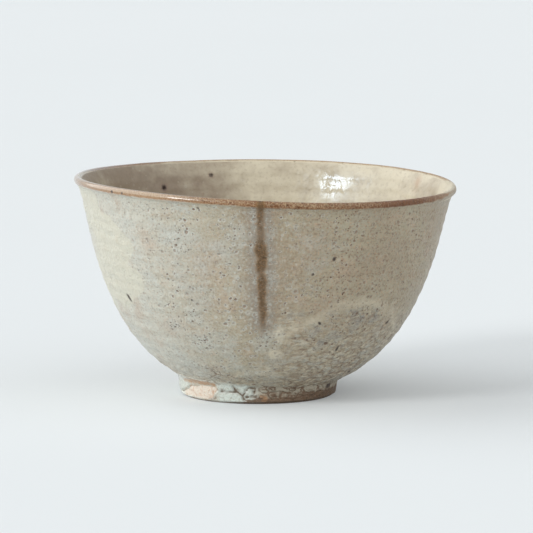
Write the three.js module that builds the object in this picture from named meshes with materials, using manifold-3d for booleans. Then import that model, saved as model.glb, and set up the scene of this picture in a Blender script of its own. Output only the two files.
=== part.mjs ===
// A hand-thrown stoneware tea bowl, in millimetres, +Z up.
// The origin lies on the plane that the foot stands on, under the middle of the mouth.
// The bowl leans a little, its rim is not level, and its foot ring sits off the wall's centre.
import * as THREE from "three";
import { mergeVertices } from "three/addons/utils/BufferGeometryUtils.js";
import Module from "manifold-3d";

const { lerp, smoothstep, clamp, degToRad } = THREE.MathUtils;

// Driving dimensions: the wall's outer curve, from the foot to the lip.
const WALL_TUCK = 1.5; // the wall's hidden end starts this far inside the foot ring's edge
const WALL_START_HEIGHT = 4.7;
const MOUTH_RADIUS = 64.7; // outer face at the lip line
const LIP_LINE = 71.3; // height where the lip starts to round over
const BELLY_IN = 4.6; // lower handle of the curve, in from the mouth
const BELLY_RISE = 14.6; // and up from the wall's start
const NECK_IN = 4.6; // upper handle, in from the mouth
const NECK_DROP = 2.5; // and down from the lip line

// Driving dimensions: thicknesses.
const LIP = 2.6;
const WALL = 3.8;
const FLOOR = 4.5; // clay and glaze at the middle of the bowl
const TEA_POOL_DIP = 1.0; // how far the middle lies below the floor's edge
const OUTER_GLAZE = 0.6;
const INNER_GLAZE = 0.5;
const FOOT_GLAZE = 0.5;
const BOND = 0.2; // seam between pieces that are fused or luted together

// Driving dimensions: the iron-brown lip and the run that trickled from it.
const LIP_BAND_OUTSIDE = 0.8; // below the lip line
const LIP_BAND_INSIDE = 0.3;
const RUN_CENTRE = -1.3; // to the left of the middle, seen from the front
const RUN_WIDTH = 2.8;
const RUN_LENGTH = 40.0;

// Driving dimensions: the foot ring.
const FOOT_OFFSET = -2.3; // the ring's centre lies to the left of the mouth's
const FOOT_RADIUS = 25.8; // outer radius at the tread
const FOOT_FLARE = 0.9; // how much wider the ring is where it meets the wall
const FOOT_WIDTH = 5.2; // from the outer radius in to the hollow
const FOOT_EDGE = 0.5; // rounding of the tread's two edges, as a chamfer
const FOOT_GLAZE_HEM = 1.2; // the foot's glaze stops this far above the tread
const BARE_FROM = degToRad(-61); // the foot's bare patch, turned from the front to the right
const BARE_TO = degToRad(-31);

// Driving dimensions: what the maker's hand and the kiln did to the round shape.
const LEAN = 0.65; // the wall's centre drifts this far to the right between foot and rim
const RIM_DROP_RIGHT = 1.7; // the rim is this much lower at the right, and higher at the left
const RIM_RISE_FRONT = 0.4;
const RIM_SADDLE = 0.6; // the rim rises at the front left and back right, and dips between

// How finely round faces are drawn.
const SEGMENTS = 40;
const WALL_STATIONS = 8;
const FLOOR_STATIONS = 4;
const LIP_STATIONS = 6;

// The wall's outer curve in the half plane (radius, height).
const wall = new THREE.CubicBezierCurve(
  new THREE.Vector2(FOOT_RADIUS - WALL_TUCK, WALL_START_HEIGHT),
  new THREE.Vector2(MOUTH_RADIUS - BELLY_IN, WALL_START_HEIGHT + BELLY_RISE),
  new THREE.Vector2(MOUTH_RADIUS - NECK_IN, LIP_LINE - NECK_DROP),
  new THREE.Vector2(MOUTH_RADIUS, LIP_LINE),
);
const wallLength = wall.getLength();
const startSlope = wall.getTangentAt(0);

// A point at a share of the way up the wall, a depth in from its outer face.
function inWall(share, depth) {
  const point = wall.getPointAt(share);
  const along = wall.getTangentAt(share);
  return new THREE.Vector2(point.x - along.y * depth, point.y + along.x * depth);
}

const claySkin = OUTER_GLAZE + BOND; // depth of the clay's outer face
const underside = inWall(0, claySkin).y; // flat clay face that roofs the foot's well
const floorHeight = underside + FLOOR;
const baseThickness = (floorHeight + TEA_POOL_DIP - WALL_START_HEIGHT) / startSlope.x;
const rimHeight = LIP_LINE + LIP / 2;

// The wall's full thickness: thick at the foot, thin at the lip.
function thickness(share) {
  const lower = lerp(baseThickness, WALL, smoothstep(share, 0, 0.5));
  return lerp(lower, LIP, smoothstep(share, 0.5, 1));
}

// Where the lip band's lower face crosses the wall, at a depth in from the outer face.
function bandStation(depth) {
  return 1 - lerp(LIP_BAND_OUTSIDE, LIP_BAND_INSIDE, depth / LIP) / wallLength;
}

// Points up one face of the wall, ending a seam below the lip band.
function upTheWall(depthAt) {
  const top = bandStation(depthAt(1)) - BOND / wallLength;
  return Array.from({ length: WALL_STATIONS + 1 }, (_, i) => {
    const share = (top * i) / WALL_STATIONS;
    return inWall(share, depthAt(share));
  });
}

// Points from the axis out to the floor's edge, a depth below the floor's upper face.
function acrossTheFloor(below) {
  const edge = inWall(0, baseThickness - below);
  const middle = new THREE.Vector2(0, floorHeight - below);
  const bend = edge.x - (edge.y - middle.y) * (startSlope.x / startSlope.y);
  const curve = new THREE.QuadraticBezierCurve(middle, new THREE.Vector2(bend, middle.y), edge);
  return curve.getPoints(FLOOR_STATIONS).slice(0, -1);
}

// The lean and the uneven rim, which every piece of the wall shares.
function handThrown(geometry) {
  const places = geometry.getAttribute("position");
  const point = new THREE.Vector3();
  for (let i = 0; i < places.count; i++) {
    point.fromBufferAttribute(places, i);
    const right = point.x / MOUTH_RADIUS;
    const front = -point.y / MOUTH_RADIUS;
    const grown = clamp((point.z - WALL_START_HEIGHT) / (rimHeight - WALL_START_HEIGHT), 0, 1);
    point.x -= LEAN * (1 - point.z / rimHeight);
    point.z +=
      grown * (RIM_RISE_FRONT * front - RIM_DROP_RIGHT * right - 2 * RIM_SADDLE * right * front);
    places.setXYZ(i, point.x, point.y, point.z);
  }
  return geometry;
}

// A profile turned round +Z. It runs anticlockwise in the half plane, so that its faces point out.
function turned(profile) {
  return new THREE.LatheGeometry(profile, SEGMENTS).rotateX(Math.PI / 2);
}

const closed = (profile) => [...profile, profile[0]];

// Joins and cuts: three.js geometry to a solid, and back.
const wasm = await Module();
wasm.setup();

function solid(geometry) {
  const bare = geometry.clone();
  bare.deleteAttribute("normal");
  bare.deleteAttribute("uv");
  const merged = mergeVertices(bare);
  return new wasm.Manifold(
    new wasm.Mesh({
      numProp: 3,
      vertProperties: merged.getAttribute("position").array,
      triVerts: new Uint32Array(merged.getIndex().array),
    }),
  );
}

function geometryOf(body) {
  const mesh = body.getMesh();
  const geometry = new THREE.BufferGeometry();
  geometry.setAttribute("position", new THREE.BufferAttribute(mesh.vertProperties, 3));
  geometry.setIndex(new THREE.BufferAttribute(mesh.triVerts, 1));
  geometry.computeVertexNormals();
  return geometry;
}

// The clay wall and floor, thrown in one.
function clayBody() {
  const inside = (share) => thickness(share) - INNER_GLAZE - BOND;
  const profile = [
    new THREE.Vector2(0, underside),
    ...upTheWall(() => claySkin),
    ...upTheWall(inside).reverse(),
    ...acrossTheFloor(INNER_GLAZE + BOND).reverse(),
  ];
  return handThrown(turned(profile));
}

// The glaze inside, from the tea pool up to the lip band.
function innerGlaze() {
  const profile = [
    ...acrossTheFloor(INNER_GLAZE),
    ...upTheWall((share) => thickness(share) - INNER_GLAZE),
    ...upTheWall(thickness).reverse(),
    ...acrossTheFloor(0).reverse(),
  ];
  return handThrown(turned(profile));
}

// The glaze outside as it was dipped, before the run and the foot take their places.
function outerGlazeBlank() {
  const profile = [...upTheWall(() => 0), ...upTheWall(() => OUTER_GLAZE).reverse()];
  return handThrown(turned(closed(profile)));
}

// The rounded lip, bare of glaze and brown with iron.
function lipBand() {
  const outside = inWall(1, 0);
  const inside = inWall(1, LIP);
  const middle = outside.clone().lerp(inside, 0.5);
  const start = outside.clone().sub(middle).angle();
  const crest = new THREE.EllipseCurve(middle.x, middle.y, LIP / 2, LIP / 2, start, start + Math.PI);
  const lowerInside = bandStation(LIP);
  const profile = [
    inWall(bandStation(0), 0),
    ...crest.getPoints(LIP_STATIONS),
    inWall(lowerInside, thickness(lowerInside)),
  ];
  return handThrown(turned(closed(profile)));
}

// Outline of the iron run seen from the front, as a prism through the front wall, grown by a margin.
function runPrism(margin) {
  const half = RUN_WIDTH / 2 + margin;
  const top = rimHeight + LIP;
  const bottom = LIP_LINE - LIP_BAND_OUTSIDE - RUN_LENGTH + RUN_WIDTH / 2;
  const outline = new THREE.Shape();
  outline.moveTo(RUN_CENTRE + half, top);
  outline.lineTo(RUN_CENTRE - half, top);
  outline.lineTo(RUN_CENTRE - half, bottom);
  outline.absarc(RUN_CENTRE, bottom, half, Math.PI, 2 * Math.PI, false);
  outline.closePath();
  const prism = new THREE.ExtrudeGeometry(outline, {
    depth: MOUTH_RADIUS + LIP,
    bevelEnabled: false,
    curveSegments: LIP_STATIONS,
  });
  return prism.rotateX(Math.PI / 2);
}

// The clay's outer face grown by the seam, as a solid plug that seats the foot's pieces.
function seatPlug() {
  const profile = [
    new THREE.Vector2(0, underside - BOND),
    ...upTheWall(() => claySkin - BOND),
    new THREE.Vector2(0, LIP_LINE),
  ];
  return solid(handThrown(turned(profile)).translate(-FOOT_OFFSET, 0, 0));
}

// The foot's outer wall flares from the tread up to the underside of the bowl, then stands upright.
function footWall(height, margin) {
  const flare = FOOT_FLARE * Math.min(height / underside, 1);
  return new THREE.Vector2(FOOT_RADIUS + flare + margin, height);
}

const footBore = FOOT_RADIUS - FOOT_WIDTH;
const footReach = 2 * underside; // the foot's blanks are turned this tall, then cut to the wall

// The foot ring, luted to the underside of the wall. The faces of its tread lie on the ground plane.
function footRing(plug) {
  const profile = [
    new THREE.Vector2(footBore + FOOT_EDGE, 0),
    new THREE.Vector2(FOOT_RADIUS - FOOT_EDGE, 0),
    footWall(FOOT_EDGE, 0),
    footWall(underside, 0),
    footWall(footReach, 0),
    new THREE.Vector2(footBore, footReach),
    new THREE.Vector2(footBore, FOOT_EDGE),
  ];
  return geometryOf(solid(turned(closed(profile))).subtract(plug));
}

// The foot's own glaze: a sleeve round the ring, open where the clay is bare.
function footGlaze(plug) {
  const profile = [
    footWall(FOOT_GLAZE_HEM, BOND),
    footWall(FOOT_GLAZE_HEM, BOND + FOOT_GLAZE),
    footWall(underside, BOND + FOOT_GLAZE),
    footWall(footReach, BOND + FOOT_GLAZE),
    footWall(footReach, BOND),
    footWall(underside, BOND),
  ];
  const sector = new THREE.Shape();
  const reach = 2 * (FOOT_RADIUS + FOOT_FLARE);
  sector.moveTo(0, 0);
  sector.lineTo(reach * Math.sin(BARE_FROM), -reach * Math.cos(BARE_FROM));
  sector.lineTo(reach * Math.sin(BARE_TO), -reach * Math.cos(BARE_TO));
  sector.closePath();
  const window = new THREE.ExtrudeGeometry(sector, { depth: footReach, bevelEnabled: false });
  return geometryOf(solid(turned(closed(profile))).subtract(solid(window)).subtract(plug));
}

// The glaze that roofs the hollow inside the foot ring.
function footWellGlaze() {
  const radius = footBore - BOND;
  const top = underside - BOND;
  const profile = [
    new THREE.Vector2(0, top - FOOT_GLAZE),
    new THREE.Vector2(radius, top - FOOT_GLAZE),
    new THREE.Vector2(radius, top),
    new THREE.Vector2(0, top),
  ];
  return turned(profile);
}

// The outer glaze stops at the foot's glaze, and leaves a slot for the iron run.
function outerGlaze(blank) {
  const collar = FOOT_RADIUS + FOOT_FLARE + FOOT_GLAZE + 2 * BOND;
  const ring = new THREE.CylinderGeometry(collar, collar, 2 * footReach, SEGMENTS);
  ring.rotateX(Math.PI / 2).translate(FOOT_OFFSET, 0, 0);
  return geometryOf(blank.subtract(solid(ring)).subtract(solid(runPrism(BOND))));
}

// Materials: unglazed and iron-stained clay, and the glaze in its thicknesses.
const material = (color, roughness) =>
  new THREE.MeshStandardMaterial({ color, roughness, metalness: 0 });
const stoneware = material("#b99a80", 0.9);
const bareClay = material("#d9b49a", 0.85);
const ashGlaze = material("#b3aa98", 0.45);
const creamGlaze = material("#c9c0a8", 0.3);
const crackledGlaze = material("#c4c6bb", 0.35);
const ironBrown = material("#8a6448", 0.45);
const ironRunBrown = material("#7a6244", 0.45);

const bowl = new THREE.Group();

function add(parent, name, geometry, finish) {
  const mesh = new THREE.Mesh(geometry, finish);
  mesh.name = name;
  parent.add(mesh);
}

const glazeBlank = solid(outerGlazeBlank());
add(bowl, "clay_body", clayBody(), stoneware);
add(bowl, "inner_glaze", innerGlaze(), creamGlaze);
add(bowl, "outer_glaze", outerGlaze(glazeBlank), ashGlaze);
add(bowl, "lip_band", lipBand(), ironBrown);
add(bowl, "iron_run", geometryOf(glazeBlank.intersect(solid(runPrism(0)))), ironRunBrown);

const foot = new THREE.Group();
foot.position.x = FOOT_OFFSET;
const plug = seatPlug();
add(foot, "foot_ring", footRing(plug), bareClay);
add(foot, "foot_glaze", footGlaze(plug), crackledGlaze);
add(foot, "foot_well_glaze", footWellGlaze(), crackledGlaze);
bowl.add(foot);

export default bowl;
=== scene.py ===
"""A hand-thrown stoneware tea bowl: its surfaces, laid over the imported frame."""
import math
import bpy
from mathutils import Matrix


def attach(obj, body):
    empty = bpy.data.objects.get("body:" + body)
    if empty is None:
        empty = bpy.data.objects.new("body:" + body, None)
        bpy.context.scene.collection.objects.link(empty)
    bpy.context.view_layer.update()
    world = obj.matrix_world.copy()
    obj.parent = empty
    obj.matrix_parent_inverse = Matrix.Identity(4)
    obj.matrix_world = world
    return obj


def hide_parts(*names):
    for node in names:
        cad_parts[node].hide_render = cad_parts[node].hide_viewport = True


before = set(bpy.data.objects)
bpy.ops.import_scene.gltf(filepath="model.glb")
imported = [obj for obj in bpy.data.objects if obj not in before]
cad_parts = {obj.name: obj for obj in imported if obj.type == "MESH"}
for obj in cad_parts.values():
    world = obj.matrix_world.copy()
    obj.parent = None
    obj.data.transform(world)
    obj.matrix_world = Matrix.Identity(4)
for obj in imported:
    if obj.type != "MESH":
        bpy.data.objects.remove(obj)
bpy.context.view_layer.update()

from types import SimpleNamespace

import bpy
import numpy as np
from bpy.props import FloatProperty, FloatVectorProperty, PointerProperty
from mathutils import Matrix, Vector
from mathutils.bvhtree import BVHTree

MM = 0.001
METRE = 1000  # in mm, also the scale of a pattern that repeats once in 1 mm
CURVE_STEPS = 4000
FAR = 9.0  # a distance to a mark that counts as far away
SHARP_ANGLE = math.radians(50)
MATH, VECTOR, RANGE = "ShaderNodeMath", "ShaderNodeVectorMath", "ShaderNodeMapRange"
NOISE, VORONOI, PRINCIPLED = "ShaderNodeTexNoise", "ShaderNodeTexVoronoi", "ShaderNodeBsdfPrincipled"

bl_info = {
    "name": "Tea bowl",
    "version": (1, 0, 0),
    "blender": (4, 5, 0),
    "location": "3D View > Sidebar > Tea bowl",
    "description": "Builds a stoneware tea bowl with its clay, glazes and iron marks",
    "category": "Add Mesh",
}


def from_hex(code):
    """An sRGB hex colour as linear red, green and blue."""
    parts = [int(code[i:i + 2], 16) / 255 for i in (1, 3, 5)]
    return [c / 12.92 if c <= 0.04045 else ((c + 0.055) / 1.055) ** 2.4 for c in parts]


def length(name, description, mm):
    """A length to set in the sidebar, given in mm."""
    return FloatProperty(name=name, description=description, default=mm * MM, unit="LENGTH", precision=5)


def colour(name, description, code):
    """A colour to set in the sidebar, given in hex."""
    return FloatVectorProperty(name=name, description=description, default=from_hex(code),
                               subtype="COLOR", min=0.0, max=1.0)


def angle(name, description, radians):
    """An angle to set in the sidebar."""
    return FloatProperty(name=name, description=description, default=radians, subtype="ANGLE")


def light(name, description, strength):
    """A light's strength to set in the sidebar."""
    return FloatProperty(name=name, description=description, default=strength, min=0.0)


class TeaBowlSizes(bpy.types.PropertyGroup):
    """The bowl's sizes."""
    mouth_radius: length("Mouth radius", "Outer radius at the lip line", 64.7)
    lip_line: length("Lip line", "Height where the lip starts to round over", 71.3)
    wall_start: length("Wall start", "Height of the wall's hidden lower end", 4.7)
    wall_tuck: length("Wall tuck", "How far the wall starts inside the foot's edge", 1.5)
    belly_in: length("Belly in", "Lower handle of the wall's curve, in from the mouth", 4.6)
    belly_rise: length("Belly rise", "Lower handle, up from the wall's start", 14.6)
    neck_in: length("Neck in", "Upper handle of the wall's curve, in from the mouth", 4.6)
    neck_drop: length("Neck drop", "Upper handle, down from the lip line", 2.5)
    lip: length("Lip", "Thickness of the lip", 2.6)
    wall: length("Wall", "Thickness of the wall", 3.8)
    floor: length("Floor", "Thickness of the floor", 4.5)
    pool_dip: length("Tea pool dip", "How far the floor's middle lies below its edge", 1.0)
    outer_glaze: length("Outer glaze", "Thickness of the glaze outside", 0.6)
    inner_glaze: length("Inner glaze", "Thickness of the glaze inside", 0.5)
    foot_glaze: length("Foot glaze", "Thickness of the glaze round the foot", 0.5)
    bond: length("Bond", "Seam between coats", 0.2)
    band_outside: length("Band outside", "The lip band's depth below the lip line, outside", 0.8)
    band_inside: length("Band inside", "The lip band's depth below the lip line, inside", 0.3)
    foot_offset: length("Foot offset", "The foot's centre, to the right of the mouth's", -2.3)
    foot_radius: length("Foot radius", "Outer radius of the foot ring at its tread", 25.8)
    foot_flare: length("Foot flare", "How much wider the ring is at its top", 0.9)
    foot_width: length("Foot width", "From the ring's outer radius in to its hollow", 5.2)
    foot_edge: length("Foot edge", "Rounding of the tread's edges", 0.5)
    lean: length("Lean", "Drift of the wall's centre between foot and rim", 0.65)
    rim_drop_right: length("Rim drop right", "How much lower the rim is at the right", 1.7)
    rim_rise_front: length("Rim rise front", "How much higher the rim is at the front", 0.4)
    rim_saddle: length("Rim saddle", "Rise of the rim at the front left and back right", 0.6)
    rim_wobble: length("Rim wobble", "Small dips of the rim", 0.25)
    ring_depth: length("Throwing ring depth", "Height of the throwing rings", 0.07)
    ring_pitch: length("Throwing ring pitch", "Distance between throwing rings", 4.2)
    swell_depth: length("Swell depth", "Broad unevenness of the wall", 0.22)
    swell_size: length("Swell size", "Width of that unevenness", 26.0)
    grain_depth: length("Grain depth", "Small unevenness of the melted glaze", 0.3)
    grain_size: length("Grain size", "Width of that small unevenness", 3.2)


class TeaBowlColours(bpy.types.PropertyGroup):
    """The bowl's colours."""
    ash: colour("Ash glaze", "Warm grey of the outer glaze", "#a89f87")
    ash_dark: colour("Thin ash glaze", "Where the glaze is thin over the clay", "#97876f")
    # On the outer wall this also carries painted light: the left, which faces the window, is made paler with it.
    ash_pale: colour("Thick ash glaze", "Greyer glaze at the left, where it is thick", "#c0bfb3")
    cloud: colour("Blue cloud", "Milky blue-grey where the glaze is thickest", "#b6bbb5")
    rim: colour("Pinhole rim", "Milky glaze round a pinhole", "#c6c9c0")
    blush: colour("Blush", "Pinkish beige where iron shows through", "#aa917c")
    cream: colour("Cream glaze", "Thick cream glaze", "#c9c6b4")
    beige: colour("Beige glaze", "Thick glaze over iron", "#cabfa7")
    scar: colour("Scar", "Grey pitted glaze", "#7f786f")
    speck: colour("Speck", "Brown grain in the glaze", "#765f4a")
    iron: colour("Iron spot", "Specks of iron in the clay", "#2e1d10")
    pit: colour("Pinhole", "Bare clay in a pinhole", "#7a5638")
    run: colour("Iron run", "Brown trickled from the lip", "#74531d")
    run_core: colour("Run core", "Where the run is thick", "#50360e")
    lip_pale: colour("Pale lip", "Lip with little iron", "#a48c6c")
    lip_dark: colour("Dark lip", "Lip rich in iron", "#683b0c")
    inside: colour("Inner glaze", "Cream glaze inside", "#c6bca4")
    # Inside, this brown is also painted shade: darker lower down at the back and at the left.
    inside_dark: colour("Thin inner glaze", "Where the inner glaze is thin", "#7d6850")
    clay: colour("Bare clay", "Fired clay of the foot", "#ded4c6")
    clay_pink: colour("Pink clay", "Fired clay with more iron", "#bd9270")
    clay_brown: colour("Brown clay", "Flashed brown clay of the foot", "#69503a")
    flash: colour("Flash", "Orange-brown of clay that the flame touched", "#a67c55")
    foot_white: colour("Foot glaze", "Pale blue-white glaze on the foot", "#cbd2ca")
    # This colour also darkens the foot's tread and right end, as soot and painted shade.
    crack: colour("Crack", "Dark line in the foot's glaze", "#54402a")
    table: colour("Table", "Pale floor", "#e5eaec")
    room: colour("Room", "Light from all round", "#fbfcfd")
    daylight: colour("Daylight", "Cool light that the glossy glaze inside mirrors", "#d6ecff")


class TeaBowlStage(bpy.types.PropertyGroup):
    """Camera and light."""
    distance: length("Camera distance", "From the bowl to the camera", 2000.0)
    aim_x: length("Aim across", "Point that the camera looks at, across", 0.45)
    aim_z: length("Aim height", "Point that the camera looks at, height", 43.65)
    elevation: angle("Elevation", "How far the camera looks down", 0.133)
    frame_width: length("Frame width", "Width of the picture at the bowl", 182.5)
    window_strength: light("Window", "Light of the window at the left", 1.5)
    window_turn: angle("Window turn", "Window's turn from the left to the front", math.radians(38))
    window_height: angle("Window height", "Window's angle above the table", math.radians(24))
    window_size: angle("Window size", "How wide the window looks from the bowl", math.radians(18))
    sky_strength: light("Sky", "Broad light from the left", 1.95)
    sky_turn: angle("Sky turn", "Broad light's turn from the left to the back", math.radians(12))
    sky_height: angle("Sky height", "Broad light's angle above the table", math.radians(32))
    sky_size: angle("Sky size", "How wide the broad light looks from the bowl", math.radians(80))
    card_strength: light("Card", "Shadowless light from the front right", 1.5)
    card_turn: angle("Card turn", "Card's turn from the right to the front", math.radians(40))
    card_height: angle("Card height", "Card's angle above the table", math.radians(40))
    card_size: angle("Card size", "How wide the card looks from the bowl", math.radians(100))
    fill: light("Fill", "Light from the room all round", 0.22)


def ease(value, low, high):
    """Runs smoothly from 0 at the low value to 1 at the high one."""
    q = np.clip((value - low) / (high - low), 0, 1)
    return q * q * (3 - 2 * q)


class Wall:
    """The wall's outer curve in the half plane (radius, height), and points at a depth inside it."""

    def __init__(self, s):
        ends = np.array([
            (s.foot_radius - s.wall_tuck, s.wall_start),
            (s.mouth_radius - s.belly_in, s.wall_start + s.belly_rise),
            (s.mouth_radius - s.neck_in, s.lip_line - s.neck_drop),
            (s.mouth_radius, s.lip_line),
        ])
        t = np.linspace(0, 1, CURVE_STEPS + 1)[:, None]
        self.curve = ((1 - t) ** 3 * ends[0] + 3 * (1 - t) ** 2 * t * ends[1]
                      + 3 * (1 - t) * t ** 2 * ends[2] + t ** 3 * ends[3])
        steps = np.hypot(*np.diff(self.curve, axis=0).T)
        self.length = steps.sum()
        self.shares = np.append(0, np.cumsum(steps)) / self.length
        slopes = np.gradient(self.curve, axis=0)
        self.slopes = slopes / np.hypot(*slopes.T)[:, None]
        self.sizes = s
        self.underside = s.wall_start + self.slopes[0, 0] * (s.outer_glaze + s.bond)
        self.floor = self.underside + s.floor
        self.base = (self.floor + s.pool_dip - s.wall_start) / self.slopes[0, 0]
        self.rim = s.lip_line + s.lip / 2

    def at(self, share, depth):
        """Points at a share of the way up the wall, and at a depth inside its outer face."""
        r, z = (np.interp(share, self.shares, c) for c in self.curve.T)
        dr, dz = (np.interp(share, self.shares, c) for c in self.slopes.T)
        return np.stack([r - dz * depth, z + dr * depth], axis=1)

    def thickness(self, share):
        """Thick at the floor, thinner half-way up, thinnest at the lip."""
        lower = self.base + (self.sizes.wall - self.base) * ease(share, 0, 0.5)
        return lower + (self.sizes.lip - lower) * ease(share, 0.5, 1)

    def across_floor(self, below, count):
        """Points from the axis out to the floor's edge, a depth below its upper face."""
        edge = self.at(np.zeros(1), self.base - below)[0]
        middle = np.array([0, self.floor - below])
        bend = np.array([edge[0] - (edge[1] - middle[1]) * self.slopes[0, 0] / self.slopes[0, 1], middle[1]])
        t = np.linspace(0, 1, count, endpoint=False)[:, None]
        return (1 - t) ** 2 * middle + 2 * (1 - t) * t * bend + t ** 2 * edge

    def radius_at(self, height):
        """The outer radius at a height."""
        return np.interp(height, self.curve[:, 1], self.curve[:, 0])

    def height_at(self, radius):
        """The height at which the outer face has a radius."""
        return np.interp(radius, self.curve[:, 0], self.curve[:, 1])


def add(tree, kind, links=None, **settings):
    """Adds a node with its settings, sets or links its inputs by name or number, and gives its outputs."""
    node = tree.nodes.new(kind)
    for name, value in settings.items():
        setattr(node, name, value)
    for key, value in (links or {}).items():
        if isinstance(value, bpy.types.NodeSocket):
            tree.links.new(value, node.inputs[key])
        else:
            node.inputs[key].default_value = value
    return node.outputs


def wheel_tree():
    """Geometry nodes that turn a profile round the wheel's axis, then lean and ripple it as a hand does."""
    tree = bpy.data.node_groups.new("thrown_on_the_wheel", "GeometryNodeTree")
    face = tree.interface.new_socket
    face("Profile", in_out="INPUT", socket_type="NodeSocketGeometry")
    face("Segments", in_out="INPUT", socket_type="NodeSocketInt")
    for name in ("Mouth Radius", "Rim Height", "Wall Start", "Lean", "Rim Drop Right", "Rim Rise Front",
                 "Rim Saddle", "Rim Wobble", "Ring Depth", "Ring Pitch", "Swell Depth", "Swell Size",
                 "Grain Depth", "Grain Size"):
        face(name, in_out="INPUT", socket_type="NodeSocketFloat")
    face("Material", in_out="INPUT", socket_type="NodeSocketMaterial")
    face("Piece", in_out="OUTPUT", socket_type="NodeSocketGeometry")
    given = add(tree, "NodeGroupInput")

    # A grid whose rows follow the profile and whose columns go once round.
    count = add(tree, "GeometryNodeAttributeDomainSize", {"Geometry": given["Profile"]})["Point Count"]
    columns = add(tree, MATH, {0: given["Segments"], 1: 1.0}, operation="ADD")[0]
    grid = add(tree, "GeometryNodeMeshGrid", {"Vertices X": count, "Vertices Y": columns})["Mesh"]
    index = add(tree, "GeometryNodeInputIndex")[0]
    row = add(tree, MATH, {0: index, 1: columns}, operation="DIVIDE")[0]
    row = add(tree, MATH, {0: row}, operation="FLOOR")[0]
    column = add(tree, MATH, {0: index, 1: columns}, operation="MODULO")[0]
    turn = add(tree, MATH, {0: column, 1: given["Segments"]}, operation="DIVIDE")[0]
    turn = add(tree, MATH, {0: turn, 1: -2 * math.pi}, operation="MULTIPLY")[0]
    place = add(tree, "GeometryNodeInputPosition")[0]
    point = add(tree, "GeometryNodeSampleIndex", {
        "Geometry": given["Profile"], "Value": place, "Index": row,
    }, data_type="FLOAT_VECTOR")[0]
    shows = add(tree, "GeometryNodeInputNamedAttribute", {"Name": "shows"})["Attribute"]
    shows = add(tree, "GeometryNodeSampleIndex", {
        "Geometry": given["Profile"], "Value": shows, "Index": row,
    })[0]
    turned = add(tree, "ShaderNodeVectorRotate", {"Vector": point, "Angle": turn}, rotation_type="Z_AXIS")[0]

    # The lean, the uneven rim and its small dips grow with the height.
    at = add(tree, "ShaderNodeSeparateXYZ", {0: turned})
    right = add(tree, MATH, {0: at["X"], 1: given["Mouth Radius"]}, operation="DIVIDE")[0]
    back = add(tree, MATH, {0: at["Y"], 1: given["Mouth Radius"]}, operation="DIVIDE")[0]
    grown = add(tree, RANGE, {
        "Value": at["Z"], "From Min": given["Wall Start"], "From Max": given["Rim Height"],
    })[0]
    lean = add(tree, RANGE, {
        "Value": at["Z"], "From Min": 0.0, "From Max": given["Rim Height"],
        "To Min": given["Lean"], "To Max": 0.0,
    }, clamp=False)[0]
    rise = add(tree, MATH, {0: given["Rim Rise Front"], 1: back}, operation="MULTIPLY")[0]
    drop = add(tree, MATH, {
        0: given["Rim Drop Right"], 1: right, 2: rise}, operation="MULTIPLY_ADD")[0]
    twist = add(tree, MATH, {0: right, 1: back}, operation="MULTIPLY")[0]
    twist = add(tree, MATH, {0: twist, 1: given["Rim Saddle"]}, operation="MULTIPLY")[0]
    tilt = add(tree, MATH, {0: twist, 1: 2.0}, operation="MULTIPLY")[0]
    tilt = add(tree, MATH, {0: tilt, 1: drop}, operation="SUBTRACT")[0]
    outward = add(tree, "ShaderNodeCombineXYZ", {"X": at["X"], "Y": at["Y"]})[0]
    outward = add(tree, VECTOR, {0: outward}, operation="NORMALIZE")[0]
    dip = add(tree, NOISE, {"Vector": outward, "Scale": 2.6, "Detail": 1.0})[0]
    dip = add(tree, MATH, {0: dip, 1: given["Rim Wobble"]}, operation="MULTIPLY")[0]
    tilt = add(tree, MATH, {0: tilt, 1: dip}, operation="SUBTRACT")[0]
    lift = add(tree, MATH, {0: tilt, 1: grown}, operation="MULTIPLY")[0]
    lean = add(tree, MATH, {0: lean, 1: -1.0}, operation="MULTIPLY")[0]
    shift = add(tree, "ShaderNodeCombineXYZ", {"X": lean, "Z": lift})[0]
    thrown = add(tree, VECTOR, {0: turned, 1: shift}, operation="ADD")[0]
    piece = add(tree, "GeometryNodeSetPosition", {"Geometry": grid, "Position": thrown})[0]
    piece = add(tree, "GeometryNodeStoreNamedAttribute", {
        "Geometry": piece, "Name": "shows", "Value": shows})[0]
    piece = add(tree, "GeometryNodeMergeByDistance", {"Geometry": piece, "Distance": 1e-6})[0]

    # Throwing rings climb in a slow spiral, and the wall swells and sinks between them.
    height = add(tree, "ShaderNodeSeparateXYZ", {0: place})["Z"]
    broad = add(tree, MATH, {0: 1.0, 1: given["Swell Size"]}, operation="DIVIDE")[0]
    swell = add(tree, NOISE, {"Vector": place, "Scale": broad, "Detail": 2.0})[0]
    ring = add(tree, MATH, {0: height, 1: given["Ring Pitch"]}, operation="DIVIDE")[0]
    ring = add(tree, MATH, {0: swell, 1: 1.6, 2: ring}, operation="MULTIPLY_ADD")[0]
    ring = add(tree, MATH, {0: ring, 1: 2 * math.pi}, operation="MULTIPLY")[0]
    ring = add(tree, MATH, {0: ring}, operation="SINE")[0]
    ring = add(tree, MATH, {0: ring, 1: given["Ring Depth"]}, operation="MULTIPLY")[0]
    swell = add(tree, MATH, {0: swell, 1: 0.5}, operation="SUBTRACT")[0]
    swell = add(tree, MATH, {0: swell, 1: 2.0}, operation="MULTIPLY")[0]
    ripple = add(tree, MATH, {
        0: swell, 1: given["Swell Depth"], 2: ring}, operation="MULTIPLY_ADD")[0]
    close = add(tree, MATH, {0: 1.0, 1: given["Grain Size"]}, operation="DIVIDE")[0]
    grain = add(tree, NOISE, {"Vector": place, "Scale": close, "Detail": 2.0})[0]
    grain = add(tree, MATH, {0: grain, 1: 0.5}, operation="SUBTRACT")[0]
    coarse = add(tree, RANGE, {
        "Value": height, "From Min": 10 * MM, "From Max": 40 * MM, "To Min": 2.5, "To Max": 1.0})[0]
    grain = add(tree, MATH, {0: grain, 1: coarse}, operation="MULTIPLY")[0]
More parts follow.
